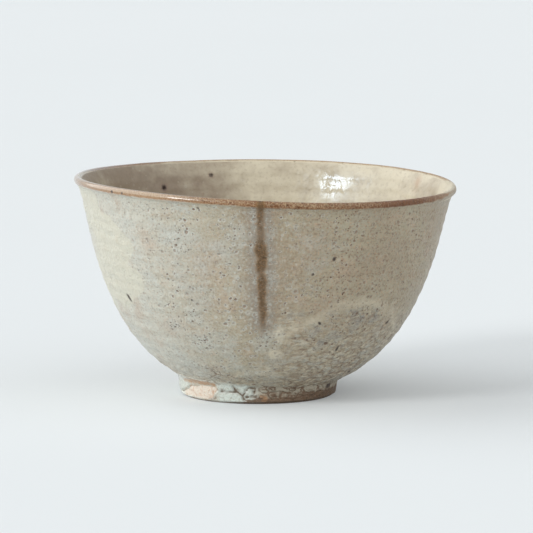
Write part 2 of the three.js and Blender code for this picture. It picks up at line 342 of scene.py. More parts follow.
    ripple = add(tree, MATH, {
        0: grain, 1: given["Grain Depth"], 2: ripple}, operation="MULTIPLY_ADD")[0]
    shows = add(tree, "GeometryNodeInputNamedAttribute", {"Name": "shows"})["Attribute"]
    ripple = add(tree, MATH, {0: ripple, 1: shows}, operation="MULTIPLY")[0]
    normal = add(tree, "GeometryNodeInputNormal")[0]
    offset = add(tree, VECTOR, {0: normal, "Scale": ripple}, operation="SCALE")[0]
    piece = add(tree, "GeometryNodeSetPosition", {"Geometry": piece, "Offset": offset})[0]
    piece = add(tree, "GeometryNodeRealizeInstances", {"Geometry": piece})[0]
    piece = add(tree, "GeometryNodeSetMaterial", {"Geometry": piece, "Material": given["Material"]})[0]
    add(tree, "NodeGroupOutput", {"Piece": piece})
    return tree


def thrown(name, profile, shows, segments, material, wall, warped=True):
    """A piece turned from a profile of (radius, height) points, as a plain mesh object."""
    s = wall.sizes
    mesh = bpy.data.meshes.new(name + "_profile")
    mesh.from_pydata([(0, -r, z) for r, z in profile], [], [])
    mesh.attributes.new("shows", "FLOAT", "POINT").data.foreach_set("value", np.asarray(shows, np.float32))
    piece = bpy.data.objects.new(name, mesh)
    bpy.context.scene.collection.objects.link(piece)
    tree = bpy.data.node_groups.get("thrown_on_the_wheel") or wheel_tree()
    wheel = piece.modifiers.new("wheel", "NODES")
    wheel.node_group = tree
    hand = 1.0 if warped else 0.0
    values = {
        "Segments": segments, "Mouth Radius": s.mouth_radius, "Rim Height": wall.rim,
        "Wall Start": s.wall_start, "Lean": s.lean * hand, "Rim Drop Right": s.rim_drop_right * hand,
        "Rim Rise Front": s.rim_rise_front * hand, "Rim Saddle": s.rim_saddle * hand,
        "Rim Wobble": s.rim_wobble * hand, "Ring Depth": s.ring_depth, "Ring Pitch": s.ring_pitch,
        "Swell Depth": s.swell_depth, "Swell Size": s.swell_size, "Grain Depth": s.grain_depth,
        "Grain Size": s.grain_size, "Material": material,
    }
    for item in tree.interface.items_tree:
        if item.name in values and item.in_out == "INPUT":
            wheel[item.identifier] = values[item.name]
    return plain(piece)


def plain(piece):
    """Turns what the modifiers make into the object's own mesh."""
    piece.update_tag()
    bpy.context.view_layer.update()
    made = piece.evaluated_get(bpy.context.evaluated_depsgraph_get())
    mesh = bpy.data.meshes.new_from_object(made)
    old = piece.data
    piece.modifiers.clear()
    piece.data = mesh
    bpy.data.meshes.remove(old)
    mesh.name = piece.name
    smooth(mesh)
    return piece


def smooth(mesh):
    """Shades the mesh smooth, apart from its sharp edges."""
    mesh.polygons.foreach_set("use_smooth", np.ones(len(mesh.polygons), bool))
    mesh.set_sharp_from_angle(angle=SHARP_ANGLE)


def lattice(name, rows, material, closed_round=True):
    """A closed tube of quads from rows of points: the rows close on themselves, and so may the columns."""
    count, columns = rows.shape[:2]
    faces = []
    for i in range(count):
        for j in range(columns if closed_round else columns - 1):
            a, b = i * columns + j, i * columns + (j + 1) % columns
            c, d = ((i + 1) % count) * columns + (j + 1) % columns, ((i + 1) % count) * columns + j
            faces.append((a, b, c, d))
    if not closed_round:
        faces.append([i * columns for i in range(count)])
        faces.append([i * columns + columns - 1 for i in reversed(range(count))])
    mesh = bpy.data.meshes.new(name)
    mesh.from_pydata(rows.reshape(-1, 3).tolist(), [], faces)
    mesh.materials.append(material)
    smooth(mesh)
    piece = bpy.data.objects.new(name, mesh)
    bpy.context.scene.collection.objects.link(piece)
    return piece


def points_of(piece):
    """The piece's points in millimetres."""
    co = np.empty(len(piece.data.vertices) * 3, np.float32)
    piece.data.vertices.foreach_get("co", co)
    return co.reshape(-1, 3).astype(float) * METRE


def keep(piece, **values):
    """Stores numbers on the piece's points, for its material to read."""
    for name, numbers in values.items():
        layer = piece.data.attributes.new(name, "FLOAT", "POINT")
        layer.data.foreach_set("value", np.asarray(numbers, np.float32))


def settle(piece, node):
    """Puts a finished piece in place of its node."""
    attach(piece, "root")
    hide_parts(node)


# Marks of the kiln on the outer wall, as (turn from the front in degrees, height in mm, ...).
IRON_SPOTS = (  # half width, half length in mm, and the slant of the length
    (22.9, 53.5, 0.6, 0.8, -30), (16.1, 48.5, 0.42, 0.55, -40), (9.9, 59.2, 0.35, 0.4, 0),
    (21.2, 30.9, 0.45, 0.7, 40), (33.1, 20.9, 0.45, 1.3, 0), (56.0, 28.6, 0.45, 1.0, -45),
    (-58.1, 36.7, 0.6, 1.6, 40), (-26.2, 38.9, 0.45, 0.5, 0), (57.6, 10.2, 0.45, 0.7, 60),
    (-51.9, 74.3, 0.5, 0.5, 0), (-47.1, 74.3, 0.45, 0.45, 0), (-20.5, 71.0, 0.4, 0.5, 30),
    (140.0, 44.0, 0.5, 0.8, 20), (-150.0, 30.0, 0.45, 0.6, -30), (165.0, 57.0, 0.4, 0.5, 0),
    (105.0, 50.0, 0.35, 0.5, 10), (-112.0, 52.0, 0.4, 0.8, 35), (-130.0, 61.0, 0.3, 0.4, 0),
)
INNER_SPOTS = (  # turn, height, radius
    (-143.4, 65.2, 1.05), (-161.6, 68.4, 0.8), (-158.0, 62.0, 0.4), (160.0, 55.0, 0.6), (40.0, 40.0, 0.8),
    (-70.0, 30.0, 0.7), (100.0, 24.0, 0.6),
)
WET = (  # glossy places of the inner wall: place and size in mm, strength
    ((26.5, 54.6, 71.0), 6.5, 1.6), ((23.5, 54.6, 66.5), 6.0, 1.2), ((36.0, 48.0, 68.0), 4.0, 0.6),
    ((12.0, 59.0, 66.0), 4.5, 0.6),
)
RUST = ((52.7, 30.3, 69.5), (1.6, 1.6, 3.0))  # an orange streak inside at the right: place and size in mm
CLOUDS = (  # milky blue places: radius in mm, strength, as in the next five tables
    (-27.3, 58.8, 6.0, 0.55), (-26.8, 32.8, 4.5, 0.7), (-37.2, 29.1, 4.0, 0.6), (-26.0, 23.7, 5.0, 0.7),
    (-8.9, 63.0, 6.0, 0.45), (-3.8, 57.0, 2.2, 0.35), (-3.8, 65.0, 2.0, 0.35), (2.4, 63.0, 2.0, 0.45),
    (-80.0, 62.0, 9.0, 0.5), (-45.0, 17.0, 7.0, 0.45), (3.0, 46.0, 2.0, 0.5), (-70.0, 24.0, 7.0, 0.4),
    (120.0, 55.0, 12.0, 0.5), (-160.0, 40.0, 12.0, 0.5), (-125.0, 25.0, 9.0, 0.45),
    (-36.0, 11.0, 8.0, 0.7), (-4.0, 10.0, 6.0, 0.5), (1.0, 24.0, 5.0, 0.65), (6.0, 16.0, 5.0, 0.4),
)
BLUSHES = (  # pinkish places
    (-17.6, 51.0, 9.0, 0.45), (-12.7, 39.5, 8.0, 0.45), (12.0, 55.0, 9.0, 0.25), (-30.0, 46.0, 7.0, 0.3),
    (27.0, 50.0, 9.0, 0.2), (8.0, 40.0, 7.0, 0.2), (150.0, 50.0, 12.0, 0.5), (-110.0, 45.0, 10.0, 0.4),
)
BEIGES = (  # thick beige glaze at the left end of the pale arc
    (7.5, 26.5, 4.0, 1.0), (10.5, 29.5, 3.4, 0.95), (4.5, 20.0, 3.6, 0.9), (1.0, 13.0, 4.0, 0.7),
    (14.0, 20.0, 3.0, 0.6), (25.0, 19.0, 3.0, 0.6), (30.0, 14.0, 3.5, 0.6), (48.0, 22.0, 4.0, 0.5),
    (-20.0, 9.5, 4.0, 0.5),
)
SCARS = (  # pitted grey places inside the pale arc
    (27.0, 33.0, 4.0, 0.6), (36.0, 32.5, 4.5, 0.9), (45.0, 31.5, 4.0, 0.7), (20.0, 29.0, 4.0, 0.5),
    (33.0, 27.0, 5.0, 0.5), (9.0, 34.0, 4.5, 0.4), (13.0, 33.0, 3.5, 0.4), (25.0, 24.0, 6.0, 0.45),
)
CRAWLS = (  # glaze drawn into strokes and pits at the left end of the pale arc
    (13.0, 27.0, 5.0, 0.7), (18.0, 22.0, 7.0, 0.8), (28.0, 19.0, 7.0, 0.7),
)
SPLITS = (  # cracks in the glaze just above the foot
    (-27.0, 11.0, 3.5, 1.0), (-17.0, 9.5, 3.0, 0.8), (-8.0, 9.0, 3.0, 0.6), (16.0, 9.0, 3.0, 0.5),
)
CREAM_EDGE = (  # height and turn of the cream patch's right edge, at the left of the front
    (30.0, -70.0), (33.4, -58.9), (36.3, -55.2), (39.5, -48.0), (43.8, -44.7), (47.1, -47.1), (48.9, -52.3),
    (54.6, -47.3), (58.0, -47.9), (60.0, -51.6), (62.5, -54.5), (65.1, -57.5), (66.0, -62.5), (72.8, -65.0),
)
ARC = (  # turn and height of the pale arc at the lower right
    (9.0, 27.8), (11.5, 30.0), (19.4, 32.8), (25.2, 36.1), (30.8, 37.8),
    (37.8, 37.8), (46.7, 36.2), (54.8, 32.9), (62.0, 28.0), (68.0, 20.0),
)
RUN_PATH = (  # height, middle across, half width, strength of the iron run
    (26.0, -0.6, 0.7, 0.0), (29.3, -0.7, 0.9, 0.3), (31.6, -0.75, 1.0, 0.6), (33.5, -0.8, 1.15, 0.85),
    (38.9, -0.95, 1.35, 0.9), (46.4, -1.05, 1.45, 0.95), (48.8, -1.15, 1.35, 0.65), (50.6, -1.25, 1.55, 0.9),
    (54.6, -1.2, 1.75, 1.0), (57.4, -1.5, 2.0, 1.0), (59.9, -1.45, 1.4, 0.85), (61.7, -1.5, 1.2, 0.6),
    (63.5, -1.5, 1.15, 0.65), (66.4, -1.6, 1.25, 0.8), (70.0, -1.45, 1.2, 0.85), (73.0, -1.6, 1.2, 0.95),
)
LIP_TONES = (  # turn, share of dark iron in the lip, how far the brown reaches down and inwards in mm
    (-180, 0.15, 0.0, 0.1), (-148, 0.2, 0.0, 0.2), (-141, 0.75, 0.3, 0.5), (-112, 0.8, 0.3, 0.6),
    (-95, 0.4, -0.1, -0.5), (-75, 0.4, -0.3, -0.7), (-55, 0.32, -0.2, -0.1), (-35, 0.2, -0.3, 0.2),
    (-20, 0.5, -0.3, 0.4), (-8, 0.45, -0.45, 0.5), (-1, 0.8, -0.15, 0.6), (6, 0.55, -0.15, 0.6),
    (15, 0.55, -0.1, 0.5), (35, 0.75, -0.2, 0.4), (46, 1.4, -0.35, 0.2), (58, 0.85, -0.5, -0.1),
    (66, 0.55, -0.8, -0.7), (74, 0.3, -1.6, -1.6), (92, 0.3, -1.6, -1.6), (102, 0.2, -0.1, 0.2),
    (150, 0.1, 0.0, 0.2), (180, 0.15, 0.0, 0.1),
)


def round_place(points, wall):
    """Turn from the front in degrees, height and radius of points on the wall, with the lean taken out."""
    s = wall.sizes
    x, y, z = points.T
    x = x + s.lean * METRE * (1 - z / (wall.rim * METRE))
    mouth = s.mouth_radius * METRE
    grown = np.clip((z - s.wall_start * METRE) / ((wall.rim - s.wall_start) * METRE), 0, 1)
    level = z - grown * METRE * (-s.rim_rise_front * y / mouth - s.rim_drop_right * x / mouth
                                + 2 * s.rim_saddle * x * y / mouth ** 2)
    return np.degrees(np.arctan2(x, -y)), level, np.hypot(x, y)


def spot_distance(points, wall, turn, height, half_width, half_length, slant):
    """Distance to a spot's edge, in spot radii less one, along the wall."""
    r = wall.radius_at(height * MM) * METRE
    step = wall.radius_at((height + 1) * MM) * METRE - r
    a = math.radians(turn)
    lean = wall.sizes.lean * METRE * (1 - height / (wall.rim * METRE))
    centre = np.array([r * math.sin(a) - lean, -r * math.cos(a), height])
    across = np.array([math.cos(a), math.sin(a), 0])
    up = np.array([step * math.sin(a), -step * math.cos(a), 1])
    up /= np.linalg.norm(up)
    off = points - centre
    u, v = off @ across, off @ up
    away = off - np.outer(u, across) - np.outer(v, up)
    c, k = math.cos(math.radians(slant)), math.sin(math.radians(slant))
    u, v = u * c + v * k, -u * k + v * c
    # A point 3 mm off the wall is as far as one spot radius along it.
    return np.sqrt((u / half_width) ** 2 + (v / half_length) ** 2 + (away ** 2).sum(1) / 9) - 1


def thin_glaze_and_painted_shade(points):
    """Where the inner glaze is thin and brown, with painted shade, by turn from the back and by height in mm.

    At the left it has a sharp edge, and there it is thin glaze and painted shade together. At the back it is
    painted shade, darker lower down, with a lighter place near the rim where more light falls."""
    x, y, z = points.T
    turn = np.degrees(np.arctan2(x, y))
    high = ease(np.hypot(x, y), 28.0, 52.0)  # not on the floor
    # Painted shade at the back: only a share of it near the rim, and less 33 degrees left of the back, where more
    # light falls.
    near = 0.3 + 0.45 * ease(-turn, 16.0, 27.0) - 0.25 * np.exp(-((turn + 33.0) / 5.0) ** 2)
    back = 0.6 * ease(-turn, 0.0, 28.0) * (near + (1 - near) * ease(72.0 - z, 1.5, 5.0))
    # At the left: thin glaze and painted shade together, with a sharp edge.
    side = 0.55 * ease(-turn, 12.0 + 25.0 * high, 66.0 - 25.0 * high)
    return np.maximum(back, side) * (1 - ease(-turn, 130.0, 160.0)) * high


def mark_wall(piece, wall):
    """Stores where the glaze is thick, thin, pink, cream or stained, and painted light and shade, for the outer
    wall's materials.
    """
    points = points_of(piece)
    turn, level, radius = round_place(points, wall)
    x, y, z = points.T
    spots = np.full(len(points), FAR)
    for spot in IRON_SPOTS:
        spots = np.minimum(spots, spot_distance(points, wall, *spot))
    patches = {}
    for name, marks in (("cloud", CLOUDS), ("blush", BLUSHES), ("beige", BEIGES), ("scar", SCARS),
                        ("crawl", CRAWLS), ("split", SPLITS)):
        patches[name] = np.zeros(len(points))
        for place, height, size, strength in marks:
            d = spot_distance(points, wall, place, height, size, size, 0) + 1
            np.maximum(patches[name], strength * np.exp(-d ** 2), out=patches[name])

    # Distances in mm inside the cream patch, which fades at its far side and below along wavy lines, below the pale
    # arc, and inside the run.
    heights, edges = np.array(CREAM_EDGE).T
    inside = np.radians(np.interp(z, heights, edges) - turn) * radius
    far = 0.12 * np.radians(turn + 86 + 7 * np.sin(z / 5)) * radius
    below = 0.35 * (z - 30.0 - 2.5 * np.sin(np.radians(9 * turn)))
    cream = np.minimum.reduce([inside, far, below])
    turns, tops = np.array(ARC).T
    arc = np.interp(turn, turns, tops, left=-20, right=-20) - z
    heights, middles, halves, strengths = np.array(RUN_PATH).T
    run = np.interp(z, heights, halves) - np.abs(x - np.interp(z, heights, middles))
    run = np.where(y < 0, run, -FAR)

    # The lip, the coarser glaze at the right, and the crawled glaze, which climbs higher there.
    angles, tones, downs, inwards = np.array(LIP_TONES).T
    crest = (wall.sizes.mouth_radius - wall.sizes.lip / 2) * METRE
    on_lip = level > wall.sizes.lip_line * METRE - 1
    right = ease(turn, -5.0, 35.0) * (1 - ease(turn, 110.0, 150.0))
    foot = (0.4 + 0.6 * right) * (1 - ease(level, 9.0, 17.0 + 26.0 * right))
    patches["crawl"] = np.maximum.reduce([patches["crawl"], 0.9 * patches["scar"], foot])
    # pale makes the left lighter: thick ash, and painted light where the left faces the window. thin brings the
    # inner glaze's thin places and painted shade to the lip's inner side.
    keep(
        piece, iron=spots, cream=np.clip(cream, -FAR, FAR), arc=np.clip(arc, -FAR, FAR),
        run=np.clip(run, -FAR, FAR), run_depth=np.interp(z, heights, strengths),
        lip_tone=np.interp(turn, angles, tones),
        lip_edge=level - wall.sizes.lip_line * METRE + np.interp(turn, angles, downs),
        lip_inside=np.where(on_lip, crest - np.interp(turn, angles, inwards) - radius, -FAR),
        pale=ease(-turn, -4.0, 60.0) * (1 - ease(-turn, 130.0, 175.0)), thin=thin_glaze_and_painted_shade(points),
        right=right, **patches,
    )


def mark_inside(piece, wall):
    """Stores the iron specks of the inner wall, where its glaze is thin, glossy or rusty, and its painted shade."""
    points = points_of(piece)
    share = np.linspace(0, 1, 400)
    radii, heights = (wall.at(share, wall.thickness(share)) * METRE).T
    spots = np.full(len(points), FAR)
    for turn, height, size in INNER_SPOTS:
        a, r = math.radians(turn), np.interp(height, heights, radii)
        place = np.array([r * math.sin(a), -r * math.cos(a), height])
        spots = np.minimum(spots, np.linalg.norm(points - place, axis=1) / size - 1)
    shine = np.zeros(len(points))
    for place, size, strength in WET:
        shine = np.maximum(shine, strength * np.exp(-((points - place) ** 2).sum(1) / size ** 2))
    rust = np.exp(-(((points - RUST[0]) / RUST[1]) ** 2).sum(1))
    # thin holds both the thin glaze and the painted shade of the inner wall.
    keep(piece, iron=spots, thin=thin_glaze_and_painted_shade(points), wet=shine, rust=rust)


def surface(name, *marks):
    """A new material, its tree, its object coordinates, and the marks stored on its piece's points."""
    material = bpy.data.materials.new(name)
    material.use_nodes = True
    tree = material.node_tree
    tree.nodes.clear()
    at = add(tree, "ShaderNodeTexCoord")["Object"]
    stored = {mark: add(tree, "ShaderNodeAttribute", attribute_name=mark)["Fac"] for mark in marks}
    return material, tree, at, SimpleNamespace(**stored)


def shares(tree, rows):
    """Where things show: a value that runs from start to end gives a share that runs from least to most.

    A row's tear is a noise and its amount, which are added to the value so that edges come out ragged."""
    made = SimpleNamespace()
    for name, value, tear, start, end, least, most in rows:
        if tear:
            value = add(tree, MATH, {0: tear[0], 1: tear[1], 2: value}, operation="MULTIPLY_ADD")[0]
        share = add(tree, RANGE, {
            "Value": value, "From Min": start, "From Max": end, "To Min": least, "To Max": most})[0]
        setattr(made, name, share)
    return made


def layered(tree, ground, coats):
    """Lays colours over a ground, each by its share, or by the product of a tuple of shares."""
    for share, coat in coats:
        share, *factors = share if isinstance(share, tuple) else (share,)
        for factor in factors:
            share = add(tree, MATH, {0: share, 1: factor}, operation="MULTIPLY")[0]
        under, over = (tone if isinstance(tone, bpy.types.NodeSocket) else (*tone, 1) for tone in (ground, coat))
        ground = add(tree, "ShaderNodeMix", {0: share, 6: under, 7: over}, data_type="RGBA")[2]
    return ground


def relief(tree, forms, strength, evenly=1.0):
    """A bump made of forms, each by where it shows and by its depth in metres."""
    height = 0.0
    for form, where, depth in forms:
        form = add(tree, MATH, {0: form, 1: where}, operation="MULTIPLY")[0]
        height = add(tree, MATH, {0: form, 1: depth, 2: height}, operation="MULTIPLY_ADD")[0]
    height = add(tree, MATH, {0: height, 1: evenly}, operation="MULTIPLY")[0]
    return add(tree, "ShaderNodeBump", {"Height": height, "Distance": 1.0, "Strength": strength})[0]


def pits(tree, at, spacing, radius, halo, kept):
    """Pinholes: shares of the dark pit and of the pale ring round it, with sizes in mm.

    kept is the share of cells that hold a pit."""
    cells = add(tree, VORONOI, {"Vector": at, "Scale": METRE / spacing})
    pick = add(tree, "ShaderNodeSeparateColor", {0: cells["Color"]})
    size = add(tree, RANGE, {"Value": pick[1], "To Min": 0.5, "To Max": 1.3})[0]
    there = add(tree, MATH, {0: pick[0], 1: kept}, operation="LESS_THAN")[0]
    away = add(tree, MATH, {0: cells["Distance"], 1: size}, operation="DIVIDE")[0]
    found = []
    for start, full in ((1.3 * radius, 0.6 * radius), (halo, 1.15 * radius)):
        share = add(tree, RANGE, {"Value": away, "From Min": start / spacing, "From Max": full / spacing})[0]
        found.append(add(tree, MATH, {0: share, 1: there}, operation="MULTIPLY")[0])
    return found


def ridges(tree, at, size, count):
    """Wavy ridges from 0 to 1, as crawling glaze leaves: contour lines of a noise with features size mm wide."""
    slope = add(tree, NOISE, {"Vector": at, "Scale": METRE / size, "Detail": 1.0})[0]
    turns = add(tree, MATH, {0: slope, 1: 2 * math.pi * count}, operation="MULTIPLY")[0]
    wave = add(tree, MATH, {0: turns}, operation="SINE")[0]
    return add(tree, RANGE, {"Value": wave, "From Min": -1.0})[0]


def seen_by_eye(tree):
    """1 for rays from the camera, also by way of a mirror or a lens, and 0 for light that falls on things."""
    path = add(tree, "ShaderNodeLightPath")
    seen = path["Is Camera Ray"]
    for ray in ("Is Glossy Ray", "Is Transmission Ray"):
        seen = add(tree, MATH, {0: seen, 1: path[ray]}, operation="MAXIMUM")[0]
    return seen


def outer_wall_material(name, c, coat=0.0):
    """Ash glaze on stoneware, satin from the kiln: milky, pinholed and stained with iron.

    To the eye it is a warm grey with cloudy blue and pink places, thousands of pinholes with pale rims, a cream
    patch with a scalloped edge, a brown run and a brown lip. The lip wears a glassy coat."""
    material, tree, at, mark = surface(
        name, "iron", "cream", "arc", "run", "run_depth", "lip_tone", "lip_edge", "lip_inside", "pale", "crawl",
        "right", "cloud", "blush", "beige", "scar", "split", "thin")

    # Noises, by the size of their features in mm: tone changes over 18, drifts to cool or warm over 9, edges are
    # torn over 3, and the melt is mottled at 0.9 and 0.5. Brushed lines are ten times as long as they are high.
    flat = add(tree, "ShaderNodeMapping", {"Vector": at, "Scale": (0.1, 0.1, 1.0)})[0]
    noises = [
        add(tree, NOISE, {"Vector": place, "Scale": METRE / size, "Detail": detail, "Roughness": rough})
        for place, size, detail, rough in (
            (at, 18, 4.0, 0.5), (at, 9, 3.0, 0.5), (at, 3.2, 4.0, 0.5), (at, 0.9, 3.0, 0.6), (at, 0.5, 1.0, 0.5),
            (flat, 1.8, 3.0, 0.5))]
    slow, drift, torn, grain, dust, lines = (noise[0] for noise in noises)
    ragged = add(tree, MATH, {0: torn, 1: 0.5}, operation="SUBTRACT")[0]
    bent = at
    for noise, reach in ((noises[2], 1.2), (noises[3], 0.55)):
        bend = add(tree, VECTOR, {0: noise[1], "Scale": reach * MM}, operation="SCALE")[0]
        bent = add(tree, VECTOR, {0: bent, 1: bend}, operation="ADD")[0]

    # Crawled glaze: lumps of 1.2 mm, wavy ridges, flat strokes, and cracks between cells of 4 mm.
    squat, stretched = (
        add(tree, "ShaderNodeMapping", {"Vector": bent, "Scale": (across, across, 1.0)})[0]
        for across in (0.6, 0.35))
    wrinkle = ridges(tree, squat, 2.2, 4.0)
    drop = add(tree, VORONOI, {"Vector": squat, "Scale": METRE / 1.2})["Distance"]
    strokes = add(tree, NOISE, {"Vector": stretched, "Scale": METRE / 0.9, "Detail": 2.0})[0]
    cells = add(tree, VORONOI, {"Vector": bent, "Scale": METRE / 4}, feature="DISTANCE_TO_EDGE")["Distance"]

    # The pale arc is a band round a line, and pinholes crowd where the glaze is cloudy or scarred.
    arc = add(tree, MATH, {0: ragged, 1: 4.0, 2: mark.arc}, operation="MULTIPLY_ADD")[0]
    arc = add(tree, MATH, {0: arc, 1: 0.6}, operation="SUBTRACT")[0]
    arc = add(tree, MATH, {0: arc}, operation="ABSOLUTE")[0]
    crowd = add(tree, MATH, {0: mark.cloud, 1: mark.scar}, operation="MAXIMUM")[0]
    share = shares(tree, (
        ("tone", slow, None, 0.38, 0.62, 0.0, 0.6), ("patchy", slow, None, 0.38, 0.64, 1.2, 0.5),
        ("cool", drift, None, 0.52, 0.66, 0.0, 0.45), ("warm", drift, None, 0.46, 0.32, 0.0, 0.4),
        ("broken", drift, None, 0.4, 0.55, 0.75, 1.0), ("pool", torn, None, 0.48, 0.6, 0.0, 0.65),
        ("speck", grain, None, 0.53, 0.7, 0.0, 1.0), ("milk", grain, None, 0.47, 0.3, 0.0, 0.75),
        ("pooled", grain, None, 0.36, 0.62, 1.0, 0.58), ("powder", dust, None, 0.56, 0.74, 0.0, 0.8),
        ("rusty", dust, None, 0.54, 0.68, 0.0, 0.5), ("line", lines, None, 0.5, 0.66, 0.0, 0.5),
        ("coarse", mark.right, None, 0.0, 1.0, 0.45, 0.78), ("calm", mark.right, None, 0.0, 1.0, 0.5, 0.1),
        ("sharp", mark.right, None, 0.0, 1.0, 0.7, 0.65), ("sparse", mark.pale, None, 0.5, 1.0, 1.0, 0.4),
        ("sandy", mark.pale, None, 0.0, 1.0, 2.6, 0.6), ("crowd", crowd, None, 0.2, 0.45, 0.0, 1.0),
        ("cloud", mark.cloud, (ragged, 1.1), 0.1, 0.9, 0.0, 0.65),
        ("blush", mark.blush, (ragged, 0.9), 0.1, 0.9, 0.0, 0.7),
        ("cream", mark.cream, (ragged, 2.6), -0.4, 0.9, 0.0, 0.66),
        ("beige", mark.beige, (ragged, 2.2), 0.35, 0.9, 0.0, 0.75),
        ("scar", mark.scar, (ragged, 1.8), 0.4, 1.0, 0.0, 0.65), ("edge", arc, None, 3.2, 0.4, 0.0, 0.55),
        ("gap", drop, None, 0.5, 0.68, 0.0, 1.0), ("lump", drop, None, 0.4, 0.1, 0.0, 1.0),
        ("furrow", wrinkle, None, 0.35, 0.0, 0.0, 1.0), ("stroke", strokes, None, 0.48, 0.6, 0.15, 1.0),
        ("split", cells, None, 0.1, 0.03, 0.0, 0.8),
        ("tinge", mark.run, None, -9.0, -1.0, 0.0, 0.85), ("halo", mark.run, None, -4.0, -0.8, 0.0, 1.0),
        ("beside", mark.run_depth, None, 0.0, 0.5, 0.0, 1.0),
        ("run", mark.run, (ragged, 1.8), -0.9, 0.3, 0.0, 0.9),
        ("core", mark.run, (ragged, 1.8), -0.1, 0.8, 0.0, 1.0),
        ("spot", mark.iron, (ragged, 1.0), 0.4, -0.3, 0.0, 0.95),
        ("lip", mark.lip_edge, (ragged, 0.9), -0.25, 0.2, 0.0, 1.0),
        ("inner", mark.lip_inside, (ragged, 0.8), -0.25, 0.25, 0.0, 1.0),
        ("gloss", ragged, None, -0.25, 0.25, 0.28, 0.46),
    ))

    # The ground: thick and thin ash, the left made paler by thick ash and by painted light, blushes, clouds, the
    # stained strip beside the run, grains, cream and beige.
    ground = layered(tree, c.ash, [
        (share.tone, c.ash_dark), (mark.pale, c.ash_pale), (share.blush, c.blush), (share.warm, c.blush),
        ((share.cool, share.calm, 2.0), c.cloud), ((share.tinge, share.beside), c.ash_dark),
        ((share.tinge, share.beside, 0.2), c.scar), ((share.halo, share.beside, 0.62), c.scar),
        ((share.halo, share.beside, 0.1), c.cloud), ((share.line, share.coarse), c.ash_dark),
        (share.cloud, c.cloud), ((share.speck, share.coarse), c.speck), ((share.milk, share.calm), c.rim),
        ((share.powder, share.coarse), c.clay_pink), (share.cream, c.cream), (share.beige, c.beige),
    ])

    # Pinholes in three sizes, fewer in the cream, with milky rims at the left and dark at the right, and a fourth
    # kind in crowds. Each row moves the pattern by some metres, so that no two kinds share their places.
    (fine, fine_rim), (middle, middle_rim), (large, large_rim), (close, close_rim) = (
        pits(tree, add(tree, VECTOR, {0: bent, 1: moved}, operation="ADD")[0], *sizes)
        for moved, *sizes in (
            ((0.0, 0.0, 0.0), 1.05, 0.24, 0.45, 0.6), ((0.11, 0.07, 0.05), 1.7, 0.38, 0.8, 0.6),
            ((0.31, 0.17, 0.25), 3.3, 0.5, 1.2, 0.5), ((0.19, 0.29, 0.13), 1.05, 0.3, 0.6, 0.8)))
    kept = add(tree, RANGE, {"Value": share.cream, "To Min": 1.0, "To Max": 0.25})[0]
    for thinned in (share.patchy, share.sparse):
        kept = add(tree, MATH, {0: kept, 1: thinned}, operation="MULTIPLY")[0]
    ground = layered(tree, ground, [
        ((fine_rim, kept, share.calm, 0.5), c.rim), ((middle_rim, kept, share.calm, 1.3), c.rim),
        ((large_rim, kept, share.calm, 1.2), c.rim), ((fine, kept, share.coarse, 1.2), c.pit),
        ((middle, kept, share.sharp), c.pit), ((large, kept, share.sharp), c.pit),
        ((close_rim, share.crowd, 0.4), c.rim), ((close, share.crowd, 0.9), c.speck),
    ])

    # Near the foot and inside the arc the glaze crawled into lumps, strokes and ridges, brown between them.
    pock = add(tree, MATH, {0: middle, 1: large}, operation="MAXIMUM")[0]
    ground = layered(tree, ground, [
        ((share.pool, mark.crawl), c.cloud), ((share.stroke, mark.crawl), c.beige),
        ((share.lump, mark.crawl, 0.3), c.rim), ((share.furrow, mark.crawl, 0.35), c.speck),
        ((share.gap, mark.crawl, 0.6), c.speck), ((middle, mark.crawl), c.speck), (share.scar, c.scar),
        ((share.edge, share.broken), c.beige), ((large, mark.crawl, 0.8), c.pit),
        ((pock, mark.scar, 2.4), c.speck), ((share.split, mark.split), c.clay_brown),
    ])

    # Iron: the lip, sandy at the right and with an orange hem, then the run with its rusty flecks, and spots.
    iron = add(tree, MATH, {0: dust, 1: 0.5}, operation="SUBTRACT")[0]
    iron = add(tree, MATH, {
        0: iron, 1: share.sandy, 2: mark.lip_tone}, operation="MULTIPLY_ADD", use_clamp=True)[0]
    hem = add(tree, MATH, {0: mark.lip_edge, 1: 0.3, 2: 0.45}, operation="COMPARE")[0]
    brown = layered(tree, c.lip_pale, [((hem, 0.5), c.flash), (iron, c.lip_dark)])
    # The lip's inner side takes the inner glaze, browned where the inner wall has thin glaze and painted shade.
    within = layered(tree, c.inside, [((mark.thin, 0.7), c.inside_dark)])
    run = (share.run, mark.run_depth, share.pooled)
    ground = layered(tree, ground, [
        (share.lip, brown), (run, c.run), ((share.core, mark.run_depth, share.pooled), c.run_core),
        ((*run, share.rusty), c.flash), (share.inner, within), (share.spot, c.iron),
    ])

